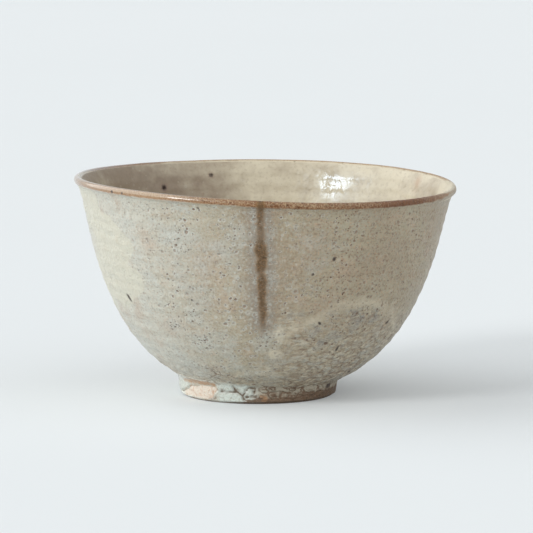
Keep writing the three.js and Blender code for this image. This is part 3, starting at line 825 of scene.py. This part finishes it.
    # The surface dips into each pinhole and ripples with the melt, more so at the right and near the foot. The
    # lip at the left is glassy and even.
    deep = add(tree, MATH, {0: middle, 1: large}, operation="ADD")[0]
    deep = add(tree, MATH, {0: fine, 1: 0.5, 2: deep}, operation="MULTIPLY_ADD")[0]
    deep = add(tree, MATH, {0: close, 1: share.crowd, 2: deep}, operation="MULTIPLY_ADD")[0]
    glassy = add(tree, RANGE, {"Value": mark.pale, "From Min": 0.1, "From Max": 0.5, "To Max": share.lip})[0]
    even = add(tree, RANGE, {"Value": glassy, "To Min": 1.0, "To Max": 0.12})[0]
    sheen = add(tree, RANGE, {"Value": share.inner, "To Min": coat, "To Max": 0.2 * coat})[0]
    sheen = add(tree, MATH, {0: glassy, 1: sheen}, operation="MULTIPLY")[0]
    gloss = add(tree, MATH, {0: glassy, 1: -0.18, 2: share.gloss}, operation="MULTIPLY_ADD")[0]
    bump = relief(tree, (
        (deep, kept, -0.4 * MM), (grain, share.coarse, 0.7 * MM), (torn, 1.0, 0.5 * MM),
        (wrinkle, mark.crawl, 0.3 * MM), (drop, mark.crawl, -0.8 * MM)), 0.9, even)
    shader = add(tree, PRINCIPLED, {
        "Base Color": ground, "Roughness": gloss, "Normal": bump, "IOR": 1.5,
        "Coat Weight": sheen, "Coat Roughness": 0.12})[0]
    add(tree, "ShaderNodeOutputMaterial", {"Surface": shader})
    return material


def inner_wall_material(name, c):
    """The same glaze inside, where it melted glossier: cream, rippled, with brown clouds, iron specks, and painted
    shade at the back and the left.

    Its gloss mirrors cool daylight, so a glint looks whiter than the cream round it."""
    material, tree, at, mark = surface(name, "iron", "thin", "wet", "rust")
    slow, mottle, ripple, grain = (
        add(tree, NOISE, {"Vector": at, "Scale": METRE / size, "Detail": detail})[0]
        for size, detail in ((16, 4.0), (6, 3.0), (2.6, 2.0), (1.0, 3.0)))
    share = shares(tree, (
        ("tone", mark.thin, (slow, 1.6), 0.8, 1.3, 0.0, 0.85), ("mottle", mottle, None, 0.48, 0.66, 0.0, 0.22),
        ("fleck", grain, None, 0.54, 0.7, 0.0, 0.22), ("halo", mark.iron, (ripple, 0.8), 1.6, 0.2, 0.0, 0.5),
        ("spot", mark.iron, (ripple, 0.8), 0.75, 0.0, 0.0, 1.0),
        ("still", mark.wet, None, 1.0, 1.5, 0.35 * MM, 0.16 * MM),
        ("gloss", mark.wet, (ripple, 0.8), 0.6, 1.15, 0.45, 0.2),
    ))
    pit, rim = pits(tree, at, 2.2, 0.25, 0.6, 0.4)
    # The first layer is thin glaze and painted shade, darker lower down at the back and at the left.
    ground = layered(tree, c.inside, [
        (share.tone, c.inside_dark), (share.mottle, c.inside_dark), (share.fleck, c.inside_dark),
        ((rim, 0.2), c.cream), ((pit, 0.15), c.pit), ((mark.rust, 0.5), c.flash), (share.halo, c.pit),
        (share.spot, c.iron),
    ])
    bump = relief(tree, ((ripple, share.still, 1.0), (grain, 1.0, 0.05 * MM)), 0.8)
    gloss = add(tree, MATH, {0: share.gloss, 1: share.spot}, operation="MAXIMUM")[0]
    shader = add(tree, PRINCIPLED, {
        "Base Color": ground, "Roughness": gloss, "Normal": bump, "IOR": 1.5,
        "Specular Tint": (*c.daylight, 1), "Specular IOR Level": 0.65})[0]
    add(tree, "ShaderNodeOutputMaterial", {"Surface": shader})
    return material


def bare_clay_material(name, c):
    """Unglazed stoneware, scraped while soft: peach pink and gritty, flashed brown at its edges."""
    material, tree, at, mark = surface(name, "flash", "soot")
    grit = add(tree, NOISE, {"Vector": at, "Scale": METRE / 0.7, "Detail": 4.0})[0]
    patch = add(tree, NOISE, {"Vector": at, "Scale": METRE / 3, "Detail": 3.0})[0]
    share = shares(tree, (
        ("brown", mark.flash, (patch, 1.2), 0.75, 1.3, 0.0, 0.9), ("pink", patch, None, 0.5, 0.62, 0.0, 0.6),
        ("speck", grit, None, 0.52, 0.66, 0.0, 0.6),
    ))
    # Its tread is darkened with soot and with painted shade where the ring meets the table.
    ground = layered(tree, c.clay, [
        (share.pink, c.clay_pink), (share.speck, c.clay_pink), (share.brown, c.clay_brown), (mark.soot, c.crack)])
    bump = relief(tree, ((grit, 1.0, 0.5 * MM),), 0.9)
    shader = add(tree, PRINCIPLED, {"Base Color": ground, "Roughness": 0.85, "Normal": bump, "IOR": 1.5})[0]
    add(tree, "ShaderNodeOutputMaterial", {"Surface": shader})
    return material


def foot_glaze_material(name, c):
    """Thick glaze that crawled on the foot.

    To the eye it is pale blue-white islands with brown cracks, thin and brown at the right."""
    material, tree, at, mark = surface(name, "crackle", "thin", "low", "hole", "flash", "soot", "split")
    tear = add(tree, NOISE, {"Vector": at, "Scale": METRE / 1.6, "Detail": 3.0})
    ragged = add(tree, MATH, {0: tear[0], 1: 0.5}, operation="SUBTRACT")[0]
    bend = add(tree, VECTOR, {0: tear[1], "Scale": 1.2 * MM}, operation="SCALE")[0]
    bent = add(tree, VECTOR, {0: at, 1: bend}, operation="ADD")[0]
    grain = add(tree, NOISE, {"Vector": at, "Scale": METRE / 0.7, "Detail": 3.0})[0]

    # Cracks of about 0.5 mm are stained brown beside them. Thin glaze at the right stands in grey-beige lumps on
    # brown, with wavy brown lines between them.
    squat = add(tree, "ShaderNodeMapping", {"Vector": bent, "Scale": (0.5, 0.5, 1.0)})[0]
    waves = ridges(tree, squat, 2.0, 4.0)
    lumps = add(tree, NOISE, {"Vector": squat, "Scale": METRE / 1.8, "Detail": 2.0})[0]
    share = shares(tree, (
        ("crack", mark.split, (ragged, 1.5), 0.26, 0.0, 0.0, 0.85),
        ("stain", mark.split, (ragged, 1.5), 0.9, 0.1, 0.0, 0.45),
        ("sunk", mark.split, (ragged, 1.5), 0.1, 0.9, 0.0, 0.35 * MM),
        ("wave", waves, None, 0.4, 0.0, 0.0, 1.0), ("low", mark.low, (lumps, 3.0), 1.75, 2.25, 0.0, 0.9),
        ("sand", grain, None, 0.5, 0.66, 0.0, 0.4), ("flash", mark.flash, (ragged, 1.8), 0.3, 0.9, 0.0, 0.8),
        ("hole", mark.hole, None, 0.3, -0.3, 0.0, 0.95), ("gloss", mark.thin, None, 0.0, 1.0, 0.12, 0.6),
    ))
    # The tread and the right end darken with soot and painted shade.
    ground = layered(tree, c.ash_pale, [
        (mark.crackle, c.foot_white), ((mark.thin, 0.6), c.ash_dark), (share.sand, c.ash_dark),
        (share.low, c.clay_brown), ((share.wave, mark.thin, 0.9), c.clay_brown), (share.flash, c.flash),
        (share.stain, c.clay_brown), (share.crack, c.crack), (mark.soot, c.crack), (share.hole, c.iron),
    ])
    bump = relief(tree, ((share.sunk, 1.0, 1.0), (waves, mark.thin, 0.4 * MM), (tear[0], 1.0, 0.4 * MM)), 0.9)
    shader = add(tree, PRINCIPLED, {
        "Base Color": ground, "Roughness": share.gloss, "Normal": bump, "IOR": 1.5})[0]
    add(tree, "ShaderNodeOutputMaterial", {"Surface": shader})
    return material


def table_material(name, c):
    """A smooth pale table top, matt, that glows a little to the eye so that it meets the room without a line."""
    material, tree, at, _ = surface(name)
    haze = add(tree, NOISE, {"Vector": at, "Scale": 6.0, "Detail": 1.0})[0]
    haze = add(tree, RANGE, {"Value": haze, "To Max": 0.03})[0]
    ground = layered(tree, c.table, [(haze, c.cloud)])
    matt = add(tree, "ShaderNodeBsdfDiffuse", {"Color": ground})[0]
    glow = add(tree, "ShaderNodeEmission", {"Color": (*c.table, 1), "Strength": 1.0})[0]
    glowing = add(tree, MATH, {0: seen_by_eye(tree), 1: 0.2}, operation="MULTIPLY")[0]
    shader = add(tree, "ShaderNodeMixShader", {0: glowing, 1: matt, 2: glow})[0]
    add(tree, "ShaderNodeOutputMaterial", {"Surface": shader})
    return material


# Steps round each piece, steps of its visible face, and how far a face fades into an edge.
OUTER_ROUND, OUTER_STEPS = 640, 146
INNER_ROUND, INNER_STEPS, FLOOR_STEPS = 400, 100, 24
LIP_STEPS = 22
RUN_STEPS, RUN_ACROSS = 90, 15
RING_ROUND, FOOT_ROUND = 420, 700
WELL_ROUND, WELL_STEPS = 200, 40
EDGE_FADE = 4 * MM
WALL_FOOT = 0.004  # share of the way up where the outer glaze starts
RUN_END, RUN_START = 31.5, 70.6  # heights in mm
RUN_TAIL, RUN_HEAD = 3.0, 1.5  # lengths in mm over which the run rises out of the glaze
RUN_HEIGHT, RUN_HEM, RUN_DEPTH, RUN_SIDE = 0.08, 0.05, 0.35, 0.25  # in mm, over and under the glaze


def bowl_wall():
    """The wall as the sidebar's sizes give it."""
    return Wall(bpy.context.scene.tea_bowl_sizes)


def wall_top(wall, depth):
    """Share of the way up where the lip band starts, at a depth in from the outer face."""
    s = wall.sizes
    return 1 - (s.band_outside + (s.band_inside - s.band_outside) * depth / s.lip) / wall.length


class TEABOWL_OT_clay_body(bpy.types.Operator):
    """Gives the hidden clay core its fired clay"""
    bl_idname = "teabowl.clay_body"
    bl_label = "Clay body"

    def execute(self, context):
        clay = bare_clay_material("fired_stoneware_core", context.scene.tea_bowl_colours)
        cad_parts["clay_body"].material_slots[0].material = clay
        return {"FINISHED"}


class TEABOWL_OT_outer_glaze(bpy.types.Operator):
    """Throws the outer wall's glaze"""
    bl_idname = "teabowl.outer_glaze"
    bl_label = "Outer glaze"

    def execute(self, context):
        wall = bowl_wall()
        s = wall.sizes
        glaze = outer_wall_material("satin_ash_glaze", context.scene.tea_bowl_colours)
        up = np.linspace(WALL_FOOT, wall_top(wall, 0), OUTER_STEPS)
        down = np.linspace(wall_top(wall, s.outer_glaze), WALL_FOOT, 4)
        face = wall.at(up, 0)
        profile = np.concatenate([face, wall.at(down, s.outer_glaze), face[:1]])
        reach = np.minimum(up - up[0], up[-1] - up) * wall.length
        shows = np.concatenate([ease(reach, 0, EDGE_FADE), np.zeros(len(down) + 1)])
        piece = thrown("outer_glaze_skin", profile, shows, OUTER_ROUND, glaze, wall)
        mark_wall(piece, wall)
        settle(piece, "outer_glaze")
        return {"FINISHED"}


class TEABOWL_OT_inner_glaze(bpy.types.Operator):
    """Throws the glaze inside the bowl"""
    bl_idname = "teabowl.inner_glaze"
    bl_label = "Inner glaze"

    def execute(self, context):
        wall = bowl_wall()
        s = wall.sizes
        glaze = inner_wall_material("glossy_cream_glaze", context.scene.tea_bowl_colours)
        back = np.linspace(0, wall_top(wall, s.lip - s.inner_glaze), 12)
        face = np.linspace(wall_top(wall, s.lip), 0, INNER_STEPS)
        under = wall.across_floor(s.inner_glaze, 6)
        profile = np.concatenate([
            under, wall.at(back, wall.thickness(back) - s.inner_glaze),
            wall.at(face, wall.thickness(face)), wall.across_floor(0, FLOOR_STEPS)[::-1]])
        reach = ease((face[0] - face) * wall.length, 0, EDGE_FADE)
        shows = np.concatenate([np.zeros(len(under) + len(back)), reach, np.ones(FLOOR_STEPS)])
        piece = thrown("inner_glaze_skin", profile, shows, INNER_ROUND, glaze, wall)
        mark_inside(piece, wall)
        settle(piece, "inner_glaze")
        return {"FINISHED"}


class TEABOWL_OT_lip_band(bpy.types.Operator):
    """Rounds the brown lip"""
    bl_idname = "teabowl.lip_band"
    bl_label = "Lip band"

    def execute(self, context):
        wall = bowl_wall()
        s = wall.sizes
        brown = outer_wall_material("iron_brown_lip", context.scene.tea_bowl_colours, coat=0.8)
        outside, inside = wall.at(np.ones(2), np.array([0, s.lip]))
        middle, arm = (outside + inside) / 2, (outside - inside) / 2
        t = np.linspace(0, math.pi, LIP_STEPS)[:, None]
        rise = np.array([-arm[1], arm[0]]) * 0.96  # a little flatter than a half circle
        crest = middle + arm * np.cos(t) + rise * np.sin(t)
        low_out = wall.at(np.linspace(wall_top(wall, 0), 1, 4)[:-1], 0)
        low_in_share = np.linspace(1, wall_top(wall, s.lip), 3)[1:]
        low_in = wall.at(low_in_share, wall.thickness(low_in_share))
        profile = np.concatenate([low_out, crest, low_in, low_out[:1]])
        piece = thrown("lip_band_rounded", profile, np.zeros(len(profile)), OUTER_ROUND, brown, wall)
        mark_wall(piece, wall)
        settle(piece, "lip_band")
        return {"FINISHED"}


class TEABOWL_OT_iron_run(bpy.types.Operator):
    """Lets the iron run down the front"""
    bl_idname = "teabowl.iron_run"
    bl_label = "Iron run"

    def execute(self, context):
        wall = bowl_wall()
        brown = outer_wall_material("iron_run_glaze", context.scene.tea_bowl_colours)
        skin = bpy.data.objects["outer_glaze_skin"].data
        tree = BVHTree.FromPolygons([v.co for v in skin.vertices], [p.vertices for p in skin.polygons])
        heights, middles, halves, _ = np.array(RUN_PATH).T
        rows = []
        for z in np.linspace(RUN_END, RUN_START, RUN_STEPS):
            middle, half = np.interp(z, heights, middles), np.interp(z, heights, halves) + RUN_SIDE
            ends = min(1.0, (z - RUN_END) / RUN_TAIL + 0.05, (RUN_START - z) / RUN_HEAD + 0.05)
            top, under = [], []
            for k in np.linspace(-1, 1, RUN_ACROSS):
                spot = Vector(((middle + k * half) * MM, -0.1, z * MM))
                hit, normal, _, _ = tree.ray_cast(spot, Vector((0, 1, 0)))
                proud = (RUN_HEIGHT * (1 - k * k) ** 2 * ends - RUN_HEM) * MM
                top.append(hit + normal * proud)
                under.append(hit - normal * RUN_DEPTH * MM)
            rows.append(top + under[::-1])
        piece = lattice("iron_run_ribbon", np.array(rows).transpose(1, 0, 2)[::-1], brown, closed_round=False)
        mark_wall(piece, wall)
        settle(piece, "iron_run")
        return {"FINISHED"}


FOOT_CRACKS = (  # turn and height in mm along each crack
    ((-27.5, 4.1), (-22.0, 4.0), (-16.9, 4.2)), ((-17.7, 6.0), (-16.9, 4.9), (-15.0, 4.2), (-11.6, 2.9)),
    ((-11.6, 2.9), (-9.6, 3.9), (-8.5, 4.8), (-6.9, 5.8), (-2.0, 5.8)), ((-2.0, 5.8), (-2.9, 3.8)),
    ((-11.6, 2.9), (-10.4, 1.6)), ((-8.7, 2.6), (-2.1, 2.5)),
)
PATCH_EDGE = (  # turn and height in mm round the bare patch
    (-57.8, 4.8), (-66.0, 3.2), (-77.0, 1.6), (-72.0, 0.7), (-61.8, 0.7), (-54.1, 0.6), (-46.3, 0.6),
    (-40.3, 0.8), (-35.9, 1.5), (-34.5, 2.9), (-31.7, 4.2), (-30.9, 5.6), (-32.8, 6.0), (-38.9, 5.1),
    (-44.5, 5.2), (-51.9, 4.9),
)
PATCH_FLASH = ((-66.0, 6.2), (-54.5, 6.6), (-46.7, 6.5), (-39.9, 6.5), (-33.9, 6.2))  # brown line over the patch


def along(points, path):
    """Distance from points to a path, both on the unrolled side of the foot."""
    nearest = np.full(points.shape[:-1], 99.0)
    for start, end in zip(path[:-1], path[1:]):
        step = end - start
        share = np.clip((points - start) @ step / (step @ step), 0, 1)
        nearest = np.minimum(nearest, np.linalg.norm(points - start - share[..., None] * step, axis=-1))
    return nearest


def unrolled(path, radius):
    """Turns and heights as mm along the foot's side and up it."""
    return np.array([(math.radians(turn) * radius, height) for turn, height in path])


def patch_depth(points, radius):
    """How far points lie inside the bare patch, less than nought outside it."""
    edge = unrolled((*PATCH_EDGE, PATCH_EDGE[0]), radius)
    inside = np.zeros(points.shape[:-1], bool)
    for (x0, z0), (x1, z1) in zip(edge[:-1], edge[1:]):
        crosses = (z0 > points[..., 1]) != (z1 > points[..., 1])
        inside ^= crosses & (points[..., 0] < x0 + (points[..., 1] - z0) * (x1 - x0) / (z1 - z0 or 1e-9))
    return np.where(inside, 1, -1) * along(points, edge)


def foot_noise(turn, height, seed):
    """A smooth uneven surface round the foot, from -1 to 1, by turn in degrees and height in mm."""
    total = np.zeros(np.broadcast(turn, height).shape)
    for k in range(1, 7):
        phase = np.radians(turn) * (5 * k + seed % 3) + seed * k + height * (0.5 + 0.35 * k)
        total += np.sin(phase) / (1 + 0.35 * k)
    return total / 3.2


def foot_row(a, r, z, offset):
    """A row of points round the foot's own axis, by turn in radians, with lengths in mm."""
    return np.stack([r * np.sin(a) + offset, -r * np.cos(a), z + 0 * a], axis=1)


class TEABOWL_OT_foot_ring(bpy.types.Operator):
    """Turns the foot ring of bare clay"""
    bl_idname = "teabowl.foot_ring"
    bl_label = "Foot ring"

    def execute(self, context):
        wall = bowl_wall()
        s = wall.sizes
        clay = bare_clay_material("scraped_foot_clay", context.scene.tea_bowl_colours)
        turn = np.linspace(0, 360, RING_ROUND, endpoint=False)
        a = np.radians(turn)
        offset, radius, edge = s.foot_offset * METRE, s.foot_radius * METRE, s.foot_edge * METRE
        bore = (s.foot_radius - s.foot_width) * METRE
        top = wall.underside * METRE - 0.1
        up = np.linspace(edge, top, 16)
        corner = np.linspace(0, math.pi / 2, 6)
        outline = [(radius - edge + edge * math.sin(q), edge - edge * math.cos(q)) for q in corner]
        outline += [(radius + s.foot_flare * METRE * z / top, z) for z in up[1:]]
        outline += [(bore, z) for z in up[::-1][:-1]]
        outline += [(bore + edge - edge * math.cos(q), edge - edge * math.sin(q)) for q in corner]

        # The scraped side is uneven by 0.1 mm, and the tread's outer edge lifts by up to 0.12 mm.
        rows = []
        for r, z in outline:
            rough = 0.10 * foot_noise(turn, z, 4) * (1 if r > bore + 1 and z > 0.05 else 0)
            lift = 0.12 * (0.5 + 0.5 * foot_noise(turn, 0.0, 7)) * (z < edge) * (r > radius - edge)
            rows.append(foot_row(a, r + rough, z + lift, offset))
        piece = lattice("foot_ring_clay", np.array(rows) * MM, clay)
        x, y, z = points_of(piece).T
        around = np.degrees(np.arctan2(x - offset, -y))
        # Its lowest 0.6 mm darkens with soot and painted shade where it meets the table.
        keep(piece, flash=0.35 * (1 - ease(z, 0.6, 1.8)) + 0.8 * ease(around, -30, -5) + 0.5 * ease(z, 5.4, 6.3),
             soot=0.8 * (1 - ease(z, 0.15, 0.6)))
        settle(piece, "foot_ring")
        return {"FINISHED"}


class TEABOWL_OT_foot_glaze(bpy.types.Operator):
    """Lays the crawled glaze round the foot, open at the bare patch"""
    bl_idname = "teabowl.foot_glaze"
    bl_label = "Foot glaze"

    def execute(self, context):
        wall = bowl_wall()
        s = wall.sizes
        glaze = foot_glaze_material("crackled_foot_glaze", context.scene.tea_bowl_colours)
        turn = np.linspace(-180, 180, FOOT_ROUND, endpoint=False)
        a = np.radians(turn)
        offset, radius = s.foot_offset * METRE, s.foot_radius * METRE
        under, lean = wall.underside * METRE, s.lean * METRE
        start, above = 0.3, 7.0  # where the glaze starts, and a height over the ring's top, in mm

        def body_height(r):
            """The height of the bowl's outer face over a circle round the foot's axis."""
            x, y = offset + r * np.sin(a) + lean, -r * np.cos(a)
            return wall.height_at(np.hypot(x, y) * MM) * METRE

        def wall_radius(z):
            """The radius of the ring's outer side."""
            return radius + s.foot_flare * METRE * np.minimum(z / under, 1)

        fillet = np.interp(turn, (-180, -90, -45, 0, 60, 110, 180), (1.8, 1.8, 2.0, 1.6, 0.8, 0.8, 1.8))
        joint = body_height(wall_radius(above) + 0.6)
        rows = []

        # Up the ring's side: thick glaze, a ragged hem over the tread, and the opening of the bare patch.
        for q in np.linspace(0, 1, 26):
            z = start + q * (joint - fillet - start)
            window = patch_depth(np.stack([np.radians(turn) * radius, z], axis=1), radius)
            hem = (z - 0.55) / 0.35 + 0.7 * foot_noise(turn, z * 0.2, 5)
            body = np.minimum(1 - ease(window, -0.6, 0.6), ease(hem, -1.0, 1.0))
            thick = 0.75 * body - 0.18 + 0.08 * foot_noise(turn, z, 2) * body
            thick += 0.35 * body * np.exp(-((turn + 85) / 30) ** 2) * np.sin(np.pi * np.clip(z / 6, 0, 1))
            rows.append(foot_row(a, wall_radius(z) + thick, z, offset))

        # A fillet from there out under the bowl, then the hidden back of the coat.
        base = wall_radius(above) + thick
        far = base + fillet + 0.4
        low, bend, high = joint - fillet, body_height(base), body_height(far) - 0.03
        for q in np.linspace(0, 1, 9)[1:]:
            r = (1 - q) ** 2 * base + 2 * (1 - q) * q * base + q ** 2 * far
            z = (1 - q) ** 2 * low + 2 * (1 - q) * q * bend + q ** 2 * high
            rows.append(foot_row(a, r, z, offset))
        far, inner = base + fillet + 0.2, wall_radius(above) - 0.5
        rows.append(foot_row(a, far, body_height(far) + 0.5, offset))
        rows.append(foot_row(a, inner, body_height(inner) + 0.3, offset))
        rows.append(foot_row(a, wall_radius(start) - 0.6, start + 0.15, offset))
        piece = lattice("foot_glaze_crawled", np.array(rows) * MM, glaze)
        points = points_of(piece)
        x, y, z = points.T
        around = np.degrees(np.arctan2(x - offset, -y))
        flat = np.stack([np.radians(around) * radius, z], axis=1)

        # Where the glaze is white, thin, brown low down, cracked, flashed or holed, and where soot and painted
        # shade darken it, by turn and height.
        crackle = np.maximum(
            ease(around, -33, -28) * (1 - ease(around, -9, 3)), 0.7 * (1 - ease(around, -64, -52)))
        crackle *= (1 - ease(z, 6.0, 7.5)) * ease(around, -130, -100)
        thin = ease(around, -8, 8) * (1 - ease(around, 120, 160))
        low = (thin * (0.75 + 0.6 * ease(around, 10, 40)) * (1 - ease(z, 1.5, 5.0))
               + 0.7 * ease(around, -14, -8) * (1 - ease(z, 0.8, 2.6)))
        split = np.full(len(points), FAR)
        for path in FOOT_CRACKS:
            split = np.minimum(split, along(flat, unrolled(path, radius)))
        flash = 0.95 * (1 - ease(along(flat, unrolled(PATCH_FLASH, radius)), 0.2, 1.4))
        flash = np.maximum(flash, 0.45 * (1 - ease(-patch_depth(flat, radius), 0.0, 0.9)))
        spot = np.linalg.norm(flat - unrolled([(4.0, 2.3)], radius), axis=1)
        flash = np.maximum(flash, 0.7 * (1 - ease(spot, 0.6, 2.4)))
        hole = np.linalg.norm((flat - unrolled([(61.0, 4.5)], radius)) / (1.5, 0.8), axis=1) - 1
        # Soot and painted shade: along the tread, more to the right, and low on the right end.
        tread = 0.85 * (1 - ease(z, 0.5, 1.0)) * (0.2 + 0.8 * ease(around, -32, -10))
        side = 0.65 * ease(around, 35, 60) * (1 - ease(around, 90, 130)) * (1 - ease(z, 2.5, 4.5))
        keep(piece, crackle=crackle, thin=thin, low=low, hole=hole, flash=flash, split=split,
             soot=np.maximum(tread, side))
        settle(piece, "foot_glaze")
        return {"FINISHED"}


class TEABOWL_OT_foot_well_glaze(bpy.types.Operator):
    """Glazes the hollow under the bowl"""
    bl_idname = "teabowl.foot_well_glaze"
    bl_label = "Foot well glaze"

    def execute(self, context):
        wall = bowl_wall()
        s = wall.sizes
        glaze = inner_wall_material("thin_well_glaze", context.scene.tea_bowl_colours)
        radius = s.foot_radius - s.foot_width - 0.1 * MM
        top = wall.underside - s.bond
        out = np.linspace(0, radius, WELL_STEPS)
        # A finger's swirl at the middle of the hollow.
        swirl = 0.25 * MM * np.cos(out / (2.4 * MM)) * np.exp(-out / (9 * MM))
        profile = np.concatenate([
            np.stack([out, top - s.foot_glaze + swirl], axis=1),
            [(radius, top), (0, top)]])
        shows = np.concatenate([ease(out[::-1], 0, 2 * MM), (0, 0)])
        piece = thrown("foot_well_skin", profile, shows, WELL_ROUND, glaze, wall, warped=False)
        piece.data.transform(Matrix.Translation((s.foot_offset, 0, 0)))
        points = np.ones(len(piece.data.vertices))
        keep(piece, iron=FAR * points, thin=0.2 * points, wet=0 * points, rust=0 * points)
        settle(piece, "foot_well_glaze")
        return {"FINISHED"}


class TEABOWL_OT_stage(bpy.types.Operator):
    """Sets the table, the window light and the camera"""
    bl_idname = "teabowl.stage"
    bl_label = "Stage"

    def execute(self, context):
        scene = context.scene
        st, c = scene.tea_bowl_stage, scene.tea_bowl_colours
        mesh = bpy.data.meshes.new("table_top")
        half, z = 6.0, -0.00002  # in metres, just under the tread
        corners = ((-half, -half, z), (half, -half, z), (half, half, z), (-half, half, z))
        mesh.from_pydata(corners, [], [(0, 1, 2, 3)])
        mesh.materials.append(table_material("pale_matt_table", c))
        table = bpy.data.objects.new("table_top", mesh)
        scene.collection.objects.link(table)

        for name, strength, size, turn, height, shadow in (
            ("window", st.window_strength, st.window_size, math.pi + st.window_turn, st.window_height, True),
            ("sky", st.sky_strength, st.sky_size, math.pi - st.sky_turn, st.sky_height, True),
            ("card", st.card_strength, st.card_size, -st.card_turn, st.card_height, False),
        ):
            lamp = bpy.data.lights.new(name, "SUN")
            lamp.energy = strength
            lamp.angle = size
            lamp.use_shadow = shadow
            holder = bpy.data.objects.new(name, lamp)
            level = math.cos(height)
            holder.location = (math.cos(turn) * level, math.sin(turn) * level, math.sin(height))
            holder.rotation_euler = holder.location.to_track_quat("Z", "Y").to_euler()
            scene.collection.objects.link(holder)

        world = bpy.data.worlds.new("pale_room")
        world.use_nodes = True
        tree = world.node_tree
        tree.nodes.clear()
        room = add(tree, "ShaderNodeBackground", {"Color": (*c.room, 1), "Strength": st.fill})[0]
        sight = add(tree, "ShaderNodeBackground", {"Color": (*c.table, 1), "Strength": 1.0})[0]
        both = add(tree, "ShaderNodeMixShader", {0: seen_by_eye(tree), 1: room, 2: sight})[0]
        add(tree, "ShaderNodeOutputWorld", {"Surface": both})
        scene.world = world

        view = bpy.data.cameras.new("camera")
        view.lens = view.sensor_width * st.distance / st.frame_width
        view.clip_end = 50.0
        camera = bpy.data.objects.new("camera", view)
        away = Vector((0, -math.cos(st.elevation), math.sin(st.elevation)))
        camera.location = Vector((st.aim_x, 0, st.aim_z)) + away * st.distance
        camera.rotation_euler = away.to_track_quat("Z", "Y").to_euler()
        scene.collection.objects.link(camera)
        scene.camera = camera
        scene.view_settings.view_transform = "Standard"
        return {"FINISHED"}


PIECES = (
    TEABOWL_OT_clay_body, TEABOWL_OT_outer_glaze, TEABOWL_OT_inner_glaze, TEABOWL_OT_lip_band,
    TEABOWL_OT_iron_run, TEABOWL_OT_foot_ring, TEABOWL_OT_foot_glaze, TEABOWL_OT_foot_well_glaze,
    TEABOWL_OT_stage,
)


class TEABOWL_PT_panel(bpy.types.Panel):
    """Lists the bowl's pieces in the order that they are built"""
    bl_idname = "TEABOWL_PT_panel"
    bl_label = "Tea bowl"
    bl_space_type = "VIEW_3D"
    bl_region_type = "UI"
    bl_category = "Tea bowl"

    def draw(self, context):
        for piece in PIECES:
            self.layout.operator(piece.bl_idname)
        scene = context.scene
        for group in (scene.tea_bowl_sizes, scene.tea_bowl_colours, scene.tea_bowl_stage):
            box = self.layout.box()
            for name in group.__annotations__:
                box.prop(group, name)


CLASSES = (TeaBowlSizes, TeaBowlColours, TeaBowlStage, *PIECES, TEABOWL_PT_panel)


def register():
    for kind in CLASSES:
        bpy.utils.register_class(kind)
    bpy.types.Scene.tea_bowl_sizes = PointerProperty(type=TeaBowlSizes)
    bpy.types.Scene.tea_bowl_colours = PointerProperty(type=TeaBowlColours)
    bpy.types.Scene.tea_bowl_stage = PointerProperty(type=TeaBowlStage)


def unregister():
    del bpy.types.Scene.tea_bowl_sizes
    del bpy.types.Scene.tea_bowl_colours
    del bpy.types.Scene.tea_bowl_stage
    for kind in reversed(CLASSES):
        bpy.utils.unregister_class(kind)


def main():
    register()
    bpy.ops.teabowl.clay_body()
    bpy.ops.teabowl.outer_glaze()
    bpy.ops.teabowl.inner_glaze()
    bpy.ops.teabowl.lip_band()
    bpy.ops.teabowl.iron_run()
    bpy.ops.teabowl.foot_ring()
    bpy.ops.teabowl.foot_glaze()
    bpy.ops.teabowl.foot_well_glaze()
    bpy.ops.teabowl.stage()


if __name__ == "__main__":
    main()
